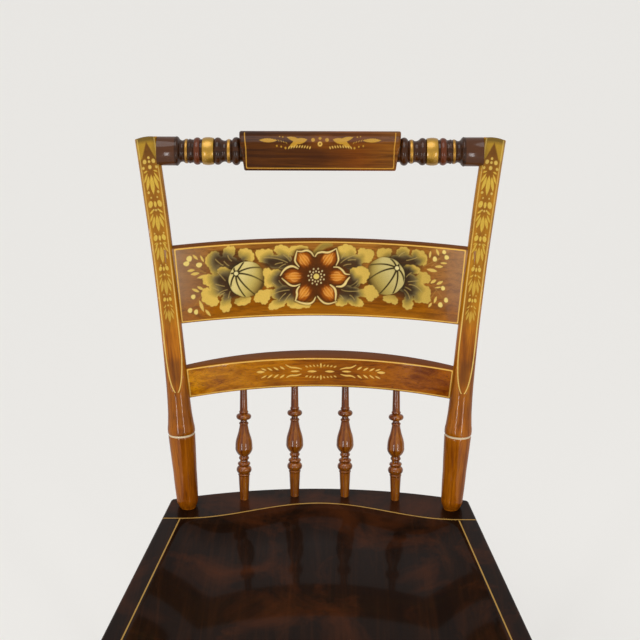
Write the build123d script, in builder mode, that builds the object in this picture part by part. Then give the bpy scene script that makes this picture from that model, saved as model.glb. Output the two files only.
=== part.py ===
from build123d import *
from math import cos, pi, radians, sin, sqrt, tan
import os

os.makedirs("parts", exist_ok=True)

# A painted plank-seat side chair. Millimetres, +Z up, the front faces -Y, the floor is Z = 0.

# Fits
socket_clearance = 0.1  # radial gap round every tenon
shoulder_clearance = 0.1  # gap where a shoulder meets the stick or plank beside it
socket_end_gap = 0.5  # space left beyond the end of a blind tenon

# Seat plank
seat_height = 440.0
seat_thickness = 38.0
seat_depth = 389.5
seat_forward_shift = 22.25  # the plank's middle lies this far in front of the frame's origin
seat_front_width = 436.0
seat_rear_width = 330.4
seat_front_bow = 12.0
seat_rear_bow = 25.5
front_corner_radius = 40.0
rear_corner_radius = 3.5
top_edge_radius = 3.0
bottom_edge_radius = 8.0
front_roll_radius = 14.0

# Saddle, the shallow dish in front of the raised rear deck
saddle_steps = ((0.0, 0.0), (22.0, 7.5), (58.0, 11.0))  # inset from the rim, depth
saddle_rear_half_width = 150.0
saddle_front_half_width = 186.0
saddle_deck_middle = 33.8  # rear edge of the plank to the saddle, at the middle
saddle_deck_ends = 42.0  # rear corners of the plank to the saddle, at its ends
saddle_front_margin = 54.0
saddle_front_bow = 10.0
saddle_corner_radius = 45.0

# Back posts, measured as a rise above the deck
back_rise = 399.0
post_side_inset = 20.2  # rear corners of the plank to the line of each post, measured sideways
post_inset = 16.0  # rear corners of the plank to the line of the post sockets
post_rake = 8.0  # degrees back, up to the bend
post_splay = 3.4  # degrees outwards, up to the bend
post_bend_rise = 107.0  # the stick is straight below this and bent above
post_bend_back = 13.5  # how far the bend carries the top back from the straight line
post_bend_out = 12.0  # and outwards
post_tenon_radius = 7.8
post_tenon_length = 30.0
post_turning = (  # rise, radius, bulge of the stretch that ends there
    (0.0, 8.8, 0),
    (11.0, 11.9, 1.0),
    (42.0, 12.9, 0.2),
    (88.0, 14.8, 0.1),
    (95.0, 14.1, 0.25),
    (107.0, 13.0, 0),
)
post_neck_rise = 140.0
post_neck_radius = 11.9
post_waist_radius = 11.4
post_top_radius = 11.9
post_top_round = 1.2
post_ring_rise = 84.4
post_ring_radius = 14.6
post_ring_groove = 0.8
flat_depth = 6.5  # post axis to the shaved front face
flat_tip_depth = 12.0  # the same where the flat runs out at its tip
flat_tip_rise = 132.0
flat_full_rise = 187.0
flat_cut_reach = 48.0  # how far in front of the flat the shaving cut starts

# Slats
slat_tenon_thickness = 7.0
slat_tenon_shoulder = 3.0
slat_tenon_reach = 2.0  # past the post axis
slat_stock_margin = 3.0  # the slat's stock stops this far inside the post axis before fitting
wide_slat_rise = 246.2
wide_slat_height = 82.8
wide_slat_thickness = 12.0
wide_slat_end_thickness = 12.0
wide_slat_bow = 24.0
wide_slat_lean = 9.5
wide_slat_setback = -2.0  # front face behind the post axis where the slat leaves the post
lower_slat_rise = 140.5
lower_slat_height = 34.6
lower_slat_thickness = 22.0
lower_slat_end_thickness = 13.0
lower_slat_bow = 29.5
lower_slat_lean = 5.0
lower_slat_setback = -1.0
slat_edge_round = 3.0

# Spindles
spindle_places = (-84.0, -28.0, 28.0, 84.0)
spindle_row_bow = 26.0
spindle_foot_radius = 4.7
spindle_top_radius = 3.8
spindle_foot_tenon = 15.0
spindle_top_tenon = 14.0
spindle_turning = (  # rise above the deck, radius, bulge of the stretch that ends there
    (1.0, 4.7, 0),
    (25.2, 6.1, 0),
    (25.6, 5.5, 0),
    (26.0, 6.3, 0),
    (27.8, 6.3, 0.4),
    (28.2, 5.9, 0),
    (36.4, 6.1, 2.4),
    (36.9, 5.6, 0),
    (37.4, 6.2, 0),
    (40.6, 6.2, 0.8),
    (41.4, 4.4, 0),
    (43.2, 4.4, 0),
    (43.7, 4.9, 0),
    (46.9, 4.9, 0.8),
    (47.8, 4.8, 0),
    (57.7, 9.45, 1.6),
    (70.0, 7.3, 0.6),
    (82.2, 4.5, -0.3),
    (82.7, 4.9, 0),
    (84.7, 4.9, 0.3),
    (85.4, 3.7, 0),
    (87.4, 3.7, 0),
    (88.0, 5.6, 0),
    (94.2, 5.6, 2.7),
    (94.9, 4.4, 0),
    (97.5, 4.5, 0.7),
    (98.3, 4.3, 0),
)

# Crest rail, measured outwards from its middle
crest_rise = 385.6
crest_tenon_radius = 7.0
crest_tenon_reach = 3.0  # past the post axis
crest_end_radius = 15.0
crest_end_gap = 10.0  # post axis to the flat end of the crest's cylinder
crest_turning = (  # distance, radius, bulge of the stretch that ends there
    (0.0, 11.0, 0),
    (82.6, 11.0, 0),
    (83.6, 13.0, 0),
    (90.4, 13.0, 1.6),
    (91.4, 11.3, 0),
    (92.6, 11.9, 0),
    (96.6, 11.9, 0.7),
    (97.6, 11.2, 0),
    (102.6, 12.4, -0.7),
    (103.4, 13.3, 0),
    (108.8, 13.3, 0.9),
    (109.8, 12.3, 0),
    (110.3, 13.6, 0),
    (121.7, 13.6, 0.9),
    (122.3, 12.3, 0),
    (124.2, 12.3, 0),
    (124.8, 13.4, 0),
    (130.0, 13.4, 0.8),
    (131.6, 11.9, 0),
    (133.8, 12.2, 0),
    (136.2, 12.2, 0.5),
    (136.6, 12.0, 0),
    (140.6, 12.0, 0.8),
    (141.4, 11.5, 0),
    (145.6, 12.4, -0.8),
    (149.6, 15.0, 1.2),
)
pillow_half_length = 81.0
pillow_end_slope = 2.6  # the top is this much longer than the middle at each end
pillow_front = 14.0  # crest axis to the flat front face
pillow_back = 13.0
pillow_bottom = 16.6
pillow_edge = 7.2  # height of the edge where the front starts to roll back
pillow_top = 20.5
pillow_crown_back = 4.3  # crest axis back to the highest line of the pillow
pillow_back_edge = 8.6  # half the height of the pillow's straight back
pillow_roll_bulge = 4.5
pillow_back_bulge = 2.25

# Legs
leg_socket_depth = 22.0
leg_tenon_radius = 11.0
leg_mouth_margin = 4.0  # the leg is already tenon-thin this far below the seat
front_leg_inset = 53.0  # front corners of the plank to the leg's top, measured sideways
front_leg_setback = 67.0  # and behind the front edge
front_leg_splay = (38.0, -40.0)  # the foot stands this far out and back from the top
rear_leg_inset = 37.2
rear_leg_setback = 49.0  # in front of the rear corners
rear_leg_splay = (32.0, 105.0)
foot_trim = 12.0  # stock below the floor, sawn off level
front_leg_low_turning = (  # height along the leg, radius, bulge
    (0.0, 10.0, 0),
    (22.0, 12.8, 0.8),
    (30.0, 9.6, -0.6),
    (31.0, 11.6, 0),
    (38.0, 11.6, 2.0),
    (39.0, 10.2, 0),
    (44.0, 10.2, 0),
    (134.0, 15.8, 0.6),
    (180.0, 14.0, 0.4),
    (181.0, 15.2, 0),
    (190.0, 15.2, 1.8),
    (191.0, 13.6, 0),
    (196.0, 13.6, 0),
    (197.0, 15.6, 0),
    (262.0, 15.6, 0.6),
)
front_leg_high_turning = (  # depth below the seat along the leg, radius, bulge
    (140.0, 13.4, 0),
    (135.0, 13.4, 0),
    (134.0, 15.4, 0),
    (124.0, 15.4, 2.0),
    (123.0, 13.0, 0),
    (108.0, 13.6, -0.8),
    (66.0, 17.4, 1.0),
)
rear_leg_foot_radius = 10.5
rear_leg_shin = (70.0, 13.6, 0.3)  # height along the leg, radius, bulge
rear_leg_belly_radius = 15.6
rear_leg_belly_bulge = 0.8
rear_ring_above_stretcher = 40.0  # upper side stretcher to the groove scribed round the leg
rear_ring_width = 5.0
rear_ring_depth = 0.8

# Stretchers, at their heights above the floor
stretcher_tenon_radius = 6.5
stretcher_tenon_depth = 14.0
stretcher_mouth_margin = 3.0
upper_front_height = 240.0
lower_front_height = 118.0
upper_side_height = 212.0
lower_side_height = 84.0
rear_height = 152.0
fancy_turning = (  # distance from the middle, radius, bulge
    (0.0, 17.0, 0),
    (17.0, 12.0, 3.0),
    (18.5, 10.6, 0),
    (20.5, 13.2, 0),
    (26.5, 13.2, 1.5),
    (27.5, 10.8, 0),
    (31.0, 9.6, -0.6),
    (32.0, 11.4, 0),
    (36.0, 11.4, 0.8),
    (37.0, 8.6, 0),
    (92.0, 12.6, 0.6),
    (112.0, 10.0, 0.3),
    (113.0, 12.0, 0),
    (119.0, 12.0, 1.4),
    (120.0, 9.2, 0),
)
plain_belly_radius = 10.5
plain_belly_bulge = 1.2

# Places that follow from the sizes
seat_underside = seat_height - seat_thickness
seat_front_y = -(seat_depth / 2 + seat_forward_shift)
seat_rear_y = seat_front_y + seat_depth
rear_corner_y = seat_rear_y - seat_rear_bow
post_line_y = rear_corner_y - post_inset
post_half_spread = seat_rear_width / 2 - post_side_inset
front_leg_top = (seat_front_width / 2 - front_leg_inset, seat_front_y + front_leg_setback)
front_leg_foot = (front_leg_top[0] + front_leg_splay[0], front_leg_top[1] + front_leg_splay[1])
rear_leg_top = (seat_rear_width / 2 - rear_leg_inset, rear_corner_y - rear_leg_setback)
rear_leg_foot = (rear_leg_top[0] + rear_leg_splay[0], rear_leg_top[1] + rear_leg_splay[1])
rear_ring = upper_side_height + rear_ring_above_stretcher
rear_leg_turning = (  # height along the leg, radius, bulge
    (0.0, rear_leg_foot_radius, 0),
    rear_leg_shin,
    (rear_ring, rear_leg_belly_radius, rear_leg_belly_bulge),
    (rear_ring + rear_ring_depth, rear_leg_belly_radius - rear_ring_depth, 0),
    (rear_ring + rear_ring_width - rear_ring_depth, rear_leg_belly_radius - rear_ring_depth, 0),
    (rear_ring + rear_ring_width, rear_leg_belly_radius, 0),
)


def point_on_post(rise):
    bend = (max(0, rise - post_bend_rise) / (back_rise - post_bend_rise)) ** 2
    side = post_half_spread + tan(radians(post_splay)) * rise + post_bend_out * bend
    back = tan(radians(post_rake)) * rise + post_bend_back * bend
    return Vector(side, post_line_y + back, seat_height + rise)


def way_along_post(rise):
    bend = 2 * max(0, rise - post_bend_rise) / (back_rise - post_bend_rise) ** 2
    side = tan(radians(post_splay)) + post_bend_out * bend
    back = tan(radians(post_rake)) + post_bend_back * bend
    return Vector(side, back, 1).normalized()


def section_plane(rise):
    way = way_along_post(rise)
    return Plane(origin=point_on_post(rise), x_dir=Vector(0, 1, 0).cross(way), z_dir=way)


def arc_height(distance, half_span, bow):
    # How far a circular arc of this span and bow stands behind its chord.
    radius = (half_span**2 + bow**2) / (2 * bow)
    return sqrt(radius**2 - distance**2) - (radius - bow)


def turned_outline(stations):
    # Half of a turned stick's outline; each station's bulge rounds the stretch that ends there.
    first, last = stations[0], stations[-1]
    Line((0, first[0]), (first[1], first[0]))
    for (start, radius, _), (end, next_radius, bulge) in zip(stations, stations[1:]):
        if bulge:
            middle = ((radius + next_radius) / 2 + bulge, (start + end) / 2)
            ThreePointArc((radius, start), middle, (next_radius, end))
        else:
            Line((radius, start), (next_radius, end))
    Line((last[1], last[0]), (0, last[0]))
    Line((0, last[0]), (0, first[0]))


def turned_stick(start, way, stations, whole=True):
    # A turning whose axis leaves start along way, mirrored about start unless whole.
    side = way.cross(Vector(0, 0, 1) if abs(way.Z) < 0.7 else Vector(0, 1, 0)).normalized()
    with BuildPart() as stick:
        with BuildSketch(Plane(origin=start, x_dir=side, z_dir=side.cross(way))):
            with BuildLine():
                turned_outline(stations)
            make_face()
        revolve(axis=Axis(start, way))
        if not whole:
            mirror(about=Plane(origin=start, z_dir=way))
    return stick.part


def bore(mouth, way, radius, depth):
    # A blind round hole along way that starts a little outside the mouth.
    lead = radius
    with BuildSketch(Plane(origin=mouth - way * lead, z_dir=way)) as hole:
        Circle(radius + socket_clearance)
    extrude(hole.sketch, amount=lead + depth + socket_end_gap, mode=Mode.SUBTRACT)


def save(part, name):
    part.label = name
    export_step(part, f"parts/{name}.step")


# Legs and stretchers: axis points and ways


def leg_axis(top, foot, side):
    upper = Vector(side * top[0], top[1], seat_underside)
    lower = Vector(side * foot[0], foot[1], 0)
    return lower, (upper - lower).normalized(), (upper - lower).length


def point_on_leg(axis, height):
    lower, way, _ = axis
    return lower + way * (height / way.Z)


def leg_radius(stations, distance):
    for (start, radius, _), (end, next_radius, _) in zip(stations, stations[1:]):
        if start <= distance <= end:
            return radius + (next_radius - radius) * (distance - start) / (end - start)
    return stations[-1][1]


def leg_stations(low, high, length):
    # The turning from the sawn foot to the end of the tenon in the seat.
    foot = ((-foot_trim, low[0][1], 0),)
    upper = tuple((length - depth, radius, bulge) for depth, radius, bulge in high)
    neck = (length - leg_mouth_margin, leg_tenon_radius, 0.5)
    end = (length + leg_socket_depth, leg_tenon_radius, 0)
    return foot + low[1:] + upper + (neck, end)


front_axis = {side: leg_axis(front_leg_top, front_leg_foot, side) for side in (-1, 1)}
rear_axis = {side: leg_axis(rear_leg_top, rear_leg_foot, side) for side in (-1, 1)}
front_stations = leg_stations(front_leg_low_turning, front_leg_high_turning, front_axis[1][2])
rear_stations = leg_stations(rear_leg_turning, (), rear_axis[1][2])


def stretcher_run(start_axis, start_stations, end_axis, end_stations, height):
    # Where a stretcher leaves the surface of each leg, and the way from one to the other.
    start, end = point_on_leg(start_axis, height), point_on_leg(end_axis, height)
    way = (end - start).normalized()
    depths = []
    for axis, stations in ((start_axis, start_stations), (end_axis, end_stations)):
        depths.append(leg_radius(stations, height / axis[1].Z))
    surface_start, surface_end = start + way * depths[0], end - way * depths[1]
    return surface_start, surface_end, way


front_pair = (front_axis[-1], front_stations, front_axis[1], front_stations)
rear_pair = (rear_axis[-1], rear_stations, rear_axis[1], rear_stations)
side_pair = {s: (front_axis[s], front_stations, rear_axis[s], rear_stations) for s in (-1, 1)}
stretcher_runs = {
    "upper_front_stretcher": stretcher_run(*front_pair, upper_front_height),
    "lower_front_stretcher": stretcher_run(*front_pair, lower_front_height),
    "upper_left_stretcher": stretcher_run(*side_pair[-1], upper_side_height),
    "lower_left_stretcher": stretcher_run(*side_pair[-1], lower_side_height),
    "upper_right_stretcher": stretcher_run(*side_pair[1], upper_side_height),
    "lower_right_stretcher": stretcher_run(*side_pair[1], lower_side_height),
    "rear_stretcher": stretcher_run(*rear_pair, rear_height),
}

for name, (start, end, way) in stretcher_runs.items():
    half = (end - start).length / 2
    tenon_end = (half + stretcher_tenon_depth, stretcher_tenon_radius, 0)
    mouth = half - stretcher_mouth_margin
    if name == "upper_front_stretcher":
        body = fancy_turning + ((mouth, stretcher_tenon_radius, 0.8),)
    else:
        belly = (0.0, plain_belly_radius, 0)
        body = (belly, (mouth, stretcher_tenon_radius, plain_belly_bulge))
    save(turned_stick((start + end) / 2, way, body + (tenon_end,), whole=False), name)


def make_legs(name, axis, stations):
    # The right leg with a socket for each stretcher that ends on its axis, and its mirror twin.
    lower, way, _ = axis
    with BuildPart() as leg:
        add(turned_stick(lower, way, stations))
        split(bisect_by=Plane.XY, keep=Keep.TOP)
        for start, end, run in stretcher_runs.values():
            for mouth, into in ((start, -run), (end, run)):
                across = mouth + into * stretcher_tenon_depth - point_on_leg(axis, mouth.Z)
                if across.length < stretcher_tenon_depth:
                    bore(mouth, into, stretcher_tenon_radius, stretcher_tenon_depth)
    with BuildPart() as twin:
        add(leg.part)
        mirror(about=Plane.YZ, mode=Mode.REPLACE)
    save(leg.part, f"{name}_right_leg")
    save(twin.part, f"{name}_left_leg")


make_legs("front", front_axis[1], front_stations)
make_legs("rear", rear_axis[1], rear_stations)


# Slats


def slat_stance(rise, lean, setback):
    # Middle of the chord between the posts at the slat's mid height, and the way the slat leans.
    tilt = radians(lean)
    chord_middle = Vector(0, point_on_post(rise).Y + setback, seat_height + rise)
    return chord_middle, Vector(0, sin(tilt), cos(tilt))


def half_span(rise):
    # Middle of the chair to the inner side of a post.
    return point_on_post(rise).X - post_top_radius


def crescent(span, reach, bow, thickness, end_thickness, extra=0.0):
    # A bowed bar's plan: front and rear arcs carried on past the span as far as reach.
    rear_bow = bow + thickness - end_thickness
    front_end = arc_height(reach, span, bow) - extra
    rear_end = arc_height(reach, span, rear_bow) + end_thickness + extra
    ThreePointArc((-reach, front_end), (0, bow - extra), (reach, front_end))
    Line((reach, front_end), (reach, rear_end))
    ThreePointArc((reach, rear_end), (0, bow + thickness + extra), (-reach, rear_end))
    Line((-reach, rear_end), (-reach, front_end))


def slat_tenons(rise, height, bow, thickness, end_thickness, stance, extra=0.0):
    # The thin bar that runs from post to post through the slat's middle.
    span = half_span(rise)
    reach = point_on_post(rise).X + slat_tenon_reach + (socket_end_gap if extra else 0)
    chord_middle, lean_way = stance
    tenon_front = Vector(0, (end_thickness - slat_tenon_thickness) / 2, 0)
    with BuildPart() as bar:
        with BuildSketch(Plane(chord_middle + tenon_front)):
            with BuildLine():
                crescent(span, reach, bow, slat_tenon_thickness, slat_tenon_thickness, extra)
            make_face()
        extrude(amount=height / 2 - slat_tenon_shoulder + extra, dir=lean_way, both=True)
    return bar.part


def post_body(extra=0.0):
    # The right-hand stick above the deck, shaved in front, grown by extra all round.
    def flat_point(rise):
        fall = max(0, (flat_full_rise - rise) / (flat_full_rise - flat_tip_rise))
        depth = flat_depth + (flat_tip_depth - flat_depth) * fall**2 + extra
        return (point_on_post(rise).Y - depth, seat_height + rise)

    rises = [flat_tip_rise + (flat_full_rise - flat_tip_rise) * k / 4 for k in range(-1, 5)]
    rises += [(flat_full_rise + back_rise) / 2, back_rise + post_top_radius]
    top, bottom = seat_height + back_rise + post_top_radius, flat_point(rises[0])[1]
    clear = flat_point(rises[0])[0] - flat_cut_reach
    straight = way_along_post(0)
    turned = [(rise / straight.Z, radius + extra, bulge) for rise, radius, bulge in post_turning]
    middle_rise = (post_neck_rise + back_rise) / 2
    bent = (
        (post_bend_rise, post_turning[-1][1]),
        (post_neck_rise, post_neck_radius),
        ((post_neck_rise + middle_rise) / 2, post_waist_radius),
        (middle_rise, post_waist_radius),
        ((middle_rise + back_rise) / 2, post_top_radius),
        (back_rise, post_top_radius),
    )
    with BuildPart() as body:
        add(turned_stick(point_on_post(0), straight, turned))
        split(bisect_by=Plane.XY.offset(seat_height + shoulder_clearance), keep=Keep.TOP)
        for rise, radius in bent:
            with BuildSketch(section_plane(rise)):
                Circle(radius + extra)
        loft()
        if not extra:
            fillet(body.faces().sort_by(Axis.Z)[-1].edges(), post_top_round)
        with BuildSketch(Plane.YZ.offset(post_half_spread)):
            with BuildLine():
                face = Spline(*[flat_point(rise) for rise in rises])
                Polyline(face @ 1, (clear, top), (clear, bottom), face @ 0)
            make_face()
        extrude(amount=post_half_spread / 2, both=True, mode=Mode.SUBTRACT)
    return body.part


wide_shape = (wide_slat_height, wide_slat_bow, wide_slat_thickness, wide_slat_end_thickness)
lower_shape = (lower_slat_height, lower_slat_bow, lower_slat_thickness, lower_slat_end_thickness)
wide_stance = slat_stance(wide_slat_rise, wide_slat_lean, wide_slat_setback)
lower_stance = slat_stance(lower_slat_rise, lower_slat_lean, lower_slat_setback)
envelope = post_body(shoulder_clearance)
envelopes = (envelope, envelope.mirror(Plane.YZ))


def slat_body(rise, height, bow, thickness, end_thickness, stance):
    span = half_span(rise)
    reach = point_on_post(rise).X - slat_stock_margin
    chord_middle, lean_way = stance
    with BuildPart() as slat:
        with BuildSketch(Plane(chord_middle)):
            with BuildLine():
                crescent(span, reach, bow, thickness, end_thickness)
            make_face()
        extrude(amount=height / 2, dir=lean_way, both=True)
        long_edges = slat.edges().filter_by(GeomType.CIRCLE)
        fillet(long_edges, slat_edge_round)
        for post in envelopes:
            add(post, mode=Mode.SUBTRACT)
        add(slat_tenons(rise, height, bow, thickness, end_thickness, stance))
    return slat.part


# Spindles


def spindle_axis(place):
    # From the deck to the middle of the lower slat's underside.
    row = arc_height(place, post_half_spread, spindle_row_bow)
    foot = Vector(place, post_line_y + row, seat_height)
    span = half_span(lower_slat_rise)
    rear_bow = lower_slat_bow + lower_slat_thickness - lower_slat_end_thickness
    front = arc_height(place, span, lower_slat_bow)
    rear = arc_height(place, span, rear_bow) + lower_slat_end_thickness
    chord_middle, lean_way = lower_stance
    under = chord_middle + Vector(place, (front + rear) / 2, 0) - lean_way * (lower_slat_height / 2)
    return foot, (under - foot).normalized(), (under - foot).length


spindle_axes = [spindle_axis(place) for place in spindle_places]

with BuildPart() as wide_slat:
    add(slat_body(wide_slat_rise, *wide_shape, wide_stance))
save(wide_slat.part, "wide_slat")

with BuildPart() as lower_slat:
    add(slat_body(lower_slat_rise, *lower_shape, lower_stance))
    for foot, way, length in spindle_axes:
        bore(foot + way * length, way, spindle_top_radius, spindle_top_tenon)
save(lower_slat.part, "lower_slat")

for number, (foot, way, length) in enumerate(spindle_axes, start=1):
    stations = [(-spindle_foot_tenon, spindle_foot_radius, 0)]
    stations += [(rise / way.Z, radius, bulge) for rise, radius, bulge in spindle_turning]
    stations += [(length - 1, spindle_top_radius, 0)]
    stations += [(length + spindle_top_tenon, spindle_top_radius, 0)]
    save(turned_stick(foot, way, stations), f"spindle_{number}")


# Crest rail

crest_middle = Vector(0, point_on_post(crest_rise).Y, seat_height + crest_rise)
crest_post_x = point_on_post(crest_rise).X
crest_stations = crest_turning + (
    (crest_post_x - crest_end_gap, crest_end_radius, 0),
    (crest_post_x - crest_end_gap, crest_tenon_radius, 0),
    (crest_post_x + crest_tenon_reach, crest_tenon_radius, 0),
)

with BuildPart() as pillow:
    with BuildSketch(Plane(origin=crest_middle, x_dir=(0, 1, 0), z_dir=(1, 0, 0))):
        with BuildLine():
            front_low, front_edge = (-pillow_front, -pillow_bottom), (-pillow_front, pillow_edge)
            crown = (pillow_crown_back, pillow_top)
            back_edge, back_low = (pillow_back, pillow_back_edge), (pillow_back, -pillow_back_edge)
            Line(front_low, front_edge)
            SagittaArc(front_edge, crown, pillow_roll_bulge)
            SagittaArc(crown, back_edge, pillow_back_bulge)
            Line(back_edge, back_low)
            SagittaArc(back_low, front_low, pillow_back_bulge)
        make_face()
    extrude(amount=pillow_half_length + pillow_end_slope, both=True)
    with BuildSketch(Plane(origin=crest_middle, x_dir=(1, 0, 0), z_dir=(0, -1, 0))):
        with BuildLine():
            wide, low = pillow_half_length + pillow_end_slope, pillow_half_length - pillow_end_slope
            Polyline((-low, -pillow_bottom), (low, -pillow_bottom), (wide, pillow_top))
            Polyline((wide, pillow_top), (-wide, pillow_top), (-low, -pillow_bottom))
        make_face()
    extrude(amount=pillow_front + pillow_back, both=True, mode=Mode.INTERSECT)

with BuildPart() as crest_rail:
    add(turned_stick(crest_middle, Vector(1, 0, 0), crest_stations[:-2], whole=False))
    for post in envelopes:
        add(post, mode=Mode.SUBTRACT)
    tenon = ((0.0, crest_tenon_radius, 0), crest_stations[-1])
    add(turned_stick(crest_middle, Vector(1, 0, 0), tenon, whole=False))
    add(pillow.part)
save(crest_rail.part, "crest_rail")


# Back posts

with BuildPart() as right_back_post:
    add(post_body())
    foot, way = point_on_post(0), way_along_post(0)
    tenon = ((-post_tenon_length, post_tenon_radius, 0), (post_tenon_radius, post_tenon_radius, 0))
    add(turned_stick(foot, way, tenon))
    with BuildSketch(section_plane(post_ring_rise)):
        Circle(post_ring_radius + post_ring_groove)
        Circle(post_ring_radius - post_ring_groove, mode=Mode.SUBTRACT)
    extrude(amount=post_ring_groove, both=True, mode=Mode.SUBTRACT)
    bore(crest_middle, Vector(1, 0, 0), crest_tenon_radius, crest_post_x + crest_tenon_reach)
    for rise, shape, stance in (
        (wide_slat_rise, wide_shape, wide_stance),
        (lower_slat_rise, lower_shape, lower_stance),
    ):
        add(slat_tenons(rise, *shape, stance, socket_clearance), mode=Mode.SUBTRACT)
save(right_back_post.part, "right_back_post")

with BuildPart() as left_back_post:
    add(right_back_post.part)
    mirror(about=Plane.YZ, mode=Mode.REPLACE)
save(left_back_post.part, "left_back_post")


# Seat


def saddle_rear(x, half_width, inset):
    # The S-shaped front edge of the rear deck.
    ends = rear_corner_y - saddle_deck_ends - inset
    middle = seat_rear_y - saddle_deck_middle - inset
    return ends + (middle - ends) * (1 + cos(pi * x / half_width)) / 2


def saddle_outline(inset):
    wide = saddle_rear_half_width - inset
    wide_front = saddle_front_half_width - inset
    corner_y = seat_front_y + saddle_front_margin + saddle_front_bow + inset
    places = [wide * k / 4 for k in range(-4, 5)]
    rear = Spline(*[(x, saddle_rear(x, wide, inset)) for x in places])
    Line(rear @ 1, (wide_front, corner_y))
    ThreePointArc((wide_front, corner_y), (0, corner_y - saddle_front_bow), (-wide_front, corner_y))
    Line((-wide_front, corner_y), rear @ 0)


with BuildPart() as seat:
    with BuildSketch(Plane.XY.offset(seat_underside)) as plan:
        rear, front = seat_rear_width / 2, seat_front_width / 2
        front_corner_y = seat_front_y + seat_front_bow
        with BuildLine():
            ThreePointArc((-rear, rear_corner_y), (0, seat_rear_y), (rear, rear_corner_y))
            Line((rear, rear_corner_y), (front, front_corner_y))
            ThreePointArc((front, front_corner_y), (0, seat_front_y), (-front, front_corner_y))
            Line((-front, front_corner_y), (-rear, rear_corner_y))
        make_face()
        fillet(plan.vertices().group_by(Axis.Y)[0], front_corner_radius)
        fillet(plan.vertices().group_by(Axis.Y)[-1], rear_corner_radius)
    extrude(amount=seat_thickness)
    fillet(seat.faces().sort_by(Axis.Z)[-1].edges(), top_edge_radius)
    fillet(seat.faces().sort_by(Axis.Z)[0].edges(), bottom_edge_radius)
    with BuildSketch(Plane.YZ):
        with BuildLine():
            roll_y, roll_z = seat_front_y + front_roll_radius, seat_height - front_roll_radius
            roll = RadiusArc((roll_y, seat_height), (seat_front_y, roll_z), -front_roll_radius)
            outside = (seat_front_y - front_roll_radius, seat_height + front_roll_radius)
            Polyline(roll @ 1, (outside[0], roll_z), outside, (roll_y, outside[1]), roll @ 0)
        make_face()
    front_radius = (seat_front_width**2 / 4 + seat_front_bow**2) / (2 * seat_front_bow)
    front_centre = (0, seat_front_y + front_radius, 0)
    revolve(axis=Axis(front_centre, (0, 0, 1)), mode=Mode.SUBTRACT)
    for inset, depth in saddle_steps:
        with BuildSketch(Plane.XY.offset(seat_height - depth)) as step:
            with BuildLine():
                saddle_outline(inset)
            make_face()
            fillet(step.vertices().group_by(Axis.Y)[0], saddle_corner_radius)
    loft(mode=Mode.SUBTRACT)
    for side in (-1, 1):
        post_way = way_along_post(0)
        bore(
            Vector(side * post_half_spread, post_line_y, seat_height),
            -Vector(side * post_way.X, post_way.Y, post_way.Z),
            post_tenon_radius,
            post_tenon_length,
        )
        for axis in (front_axis[side], rear_axis[side]):
            bore(point_on_leg(axis, seat_underside), axis[1], leg_tenon_radius, leg_socket_depth)
    for foot, way, _ in spindle_axes:
        bore(foot, -way, spindle_foot_radius, spindle_foot_tenon)
save(seat.part, "seat")
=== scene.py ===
import math

import bmesh
import bpy
import numpy as np
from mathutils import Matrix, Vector


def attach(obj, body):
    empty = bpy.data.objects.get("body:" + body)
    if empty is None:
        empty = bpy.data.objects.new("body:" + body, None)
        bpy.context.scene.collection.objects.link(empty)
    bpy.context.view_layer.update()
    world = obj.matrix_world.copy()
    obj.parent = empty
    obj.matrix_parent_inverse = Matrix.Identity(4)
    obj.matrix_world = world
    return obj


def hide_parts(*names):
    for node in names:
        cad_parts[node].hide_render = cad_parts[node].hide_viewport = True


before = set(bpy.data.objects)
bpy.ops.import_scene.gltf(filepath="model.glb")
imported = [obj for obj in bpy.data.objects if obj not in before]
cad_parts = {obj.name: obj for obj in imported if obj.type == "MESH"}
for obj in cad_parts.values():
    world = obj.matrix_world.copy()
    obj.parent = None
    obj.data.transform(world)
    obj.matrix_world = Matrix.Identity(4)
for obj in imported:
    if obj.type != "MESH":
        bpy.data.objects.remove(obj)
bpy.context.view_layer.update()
mm = 0.001
print("frame loaded")


def tint(code):  # the shader works in linear light
    parts = np.array([int(code[k : k + 2], 16) / 255 for k in (1, 3, 5)])
    return np.where(parts <= 0.04045, parts / 12.92, ((parts + 0.055) / 1.055) ** 2.4)


def tintAlpha(code):
    return (*tint(code), 1.0)


def unit(value):
    return np.clip(value, 0, 1)


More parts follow.
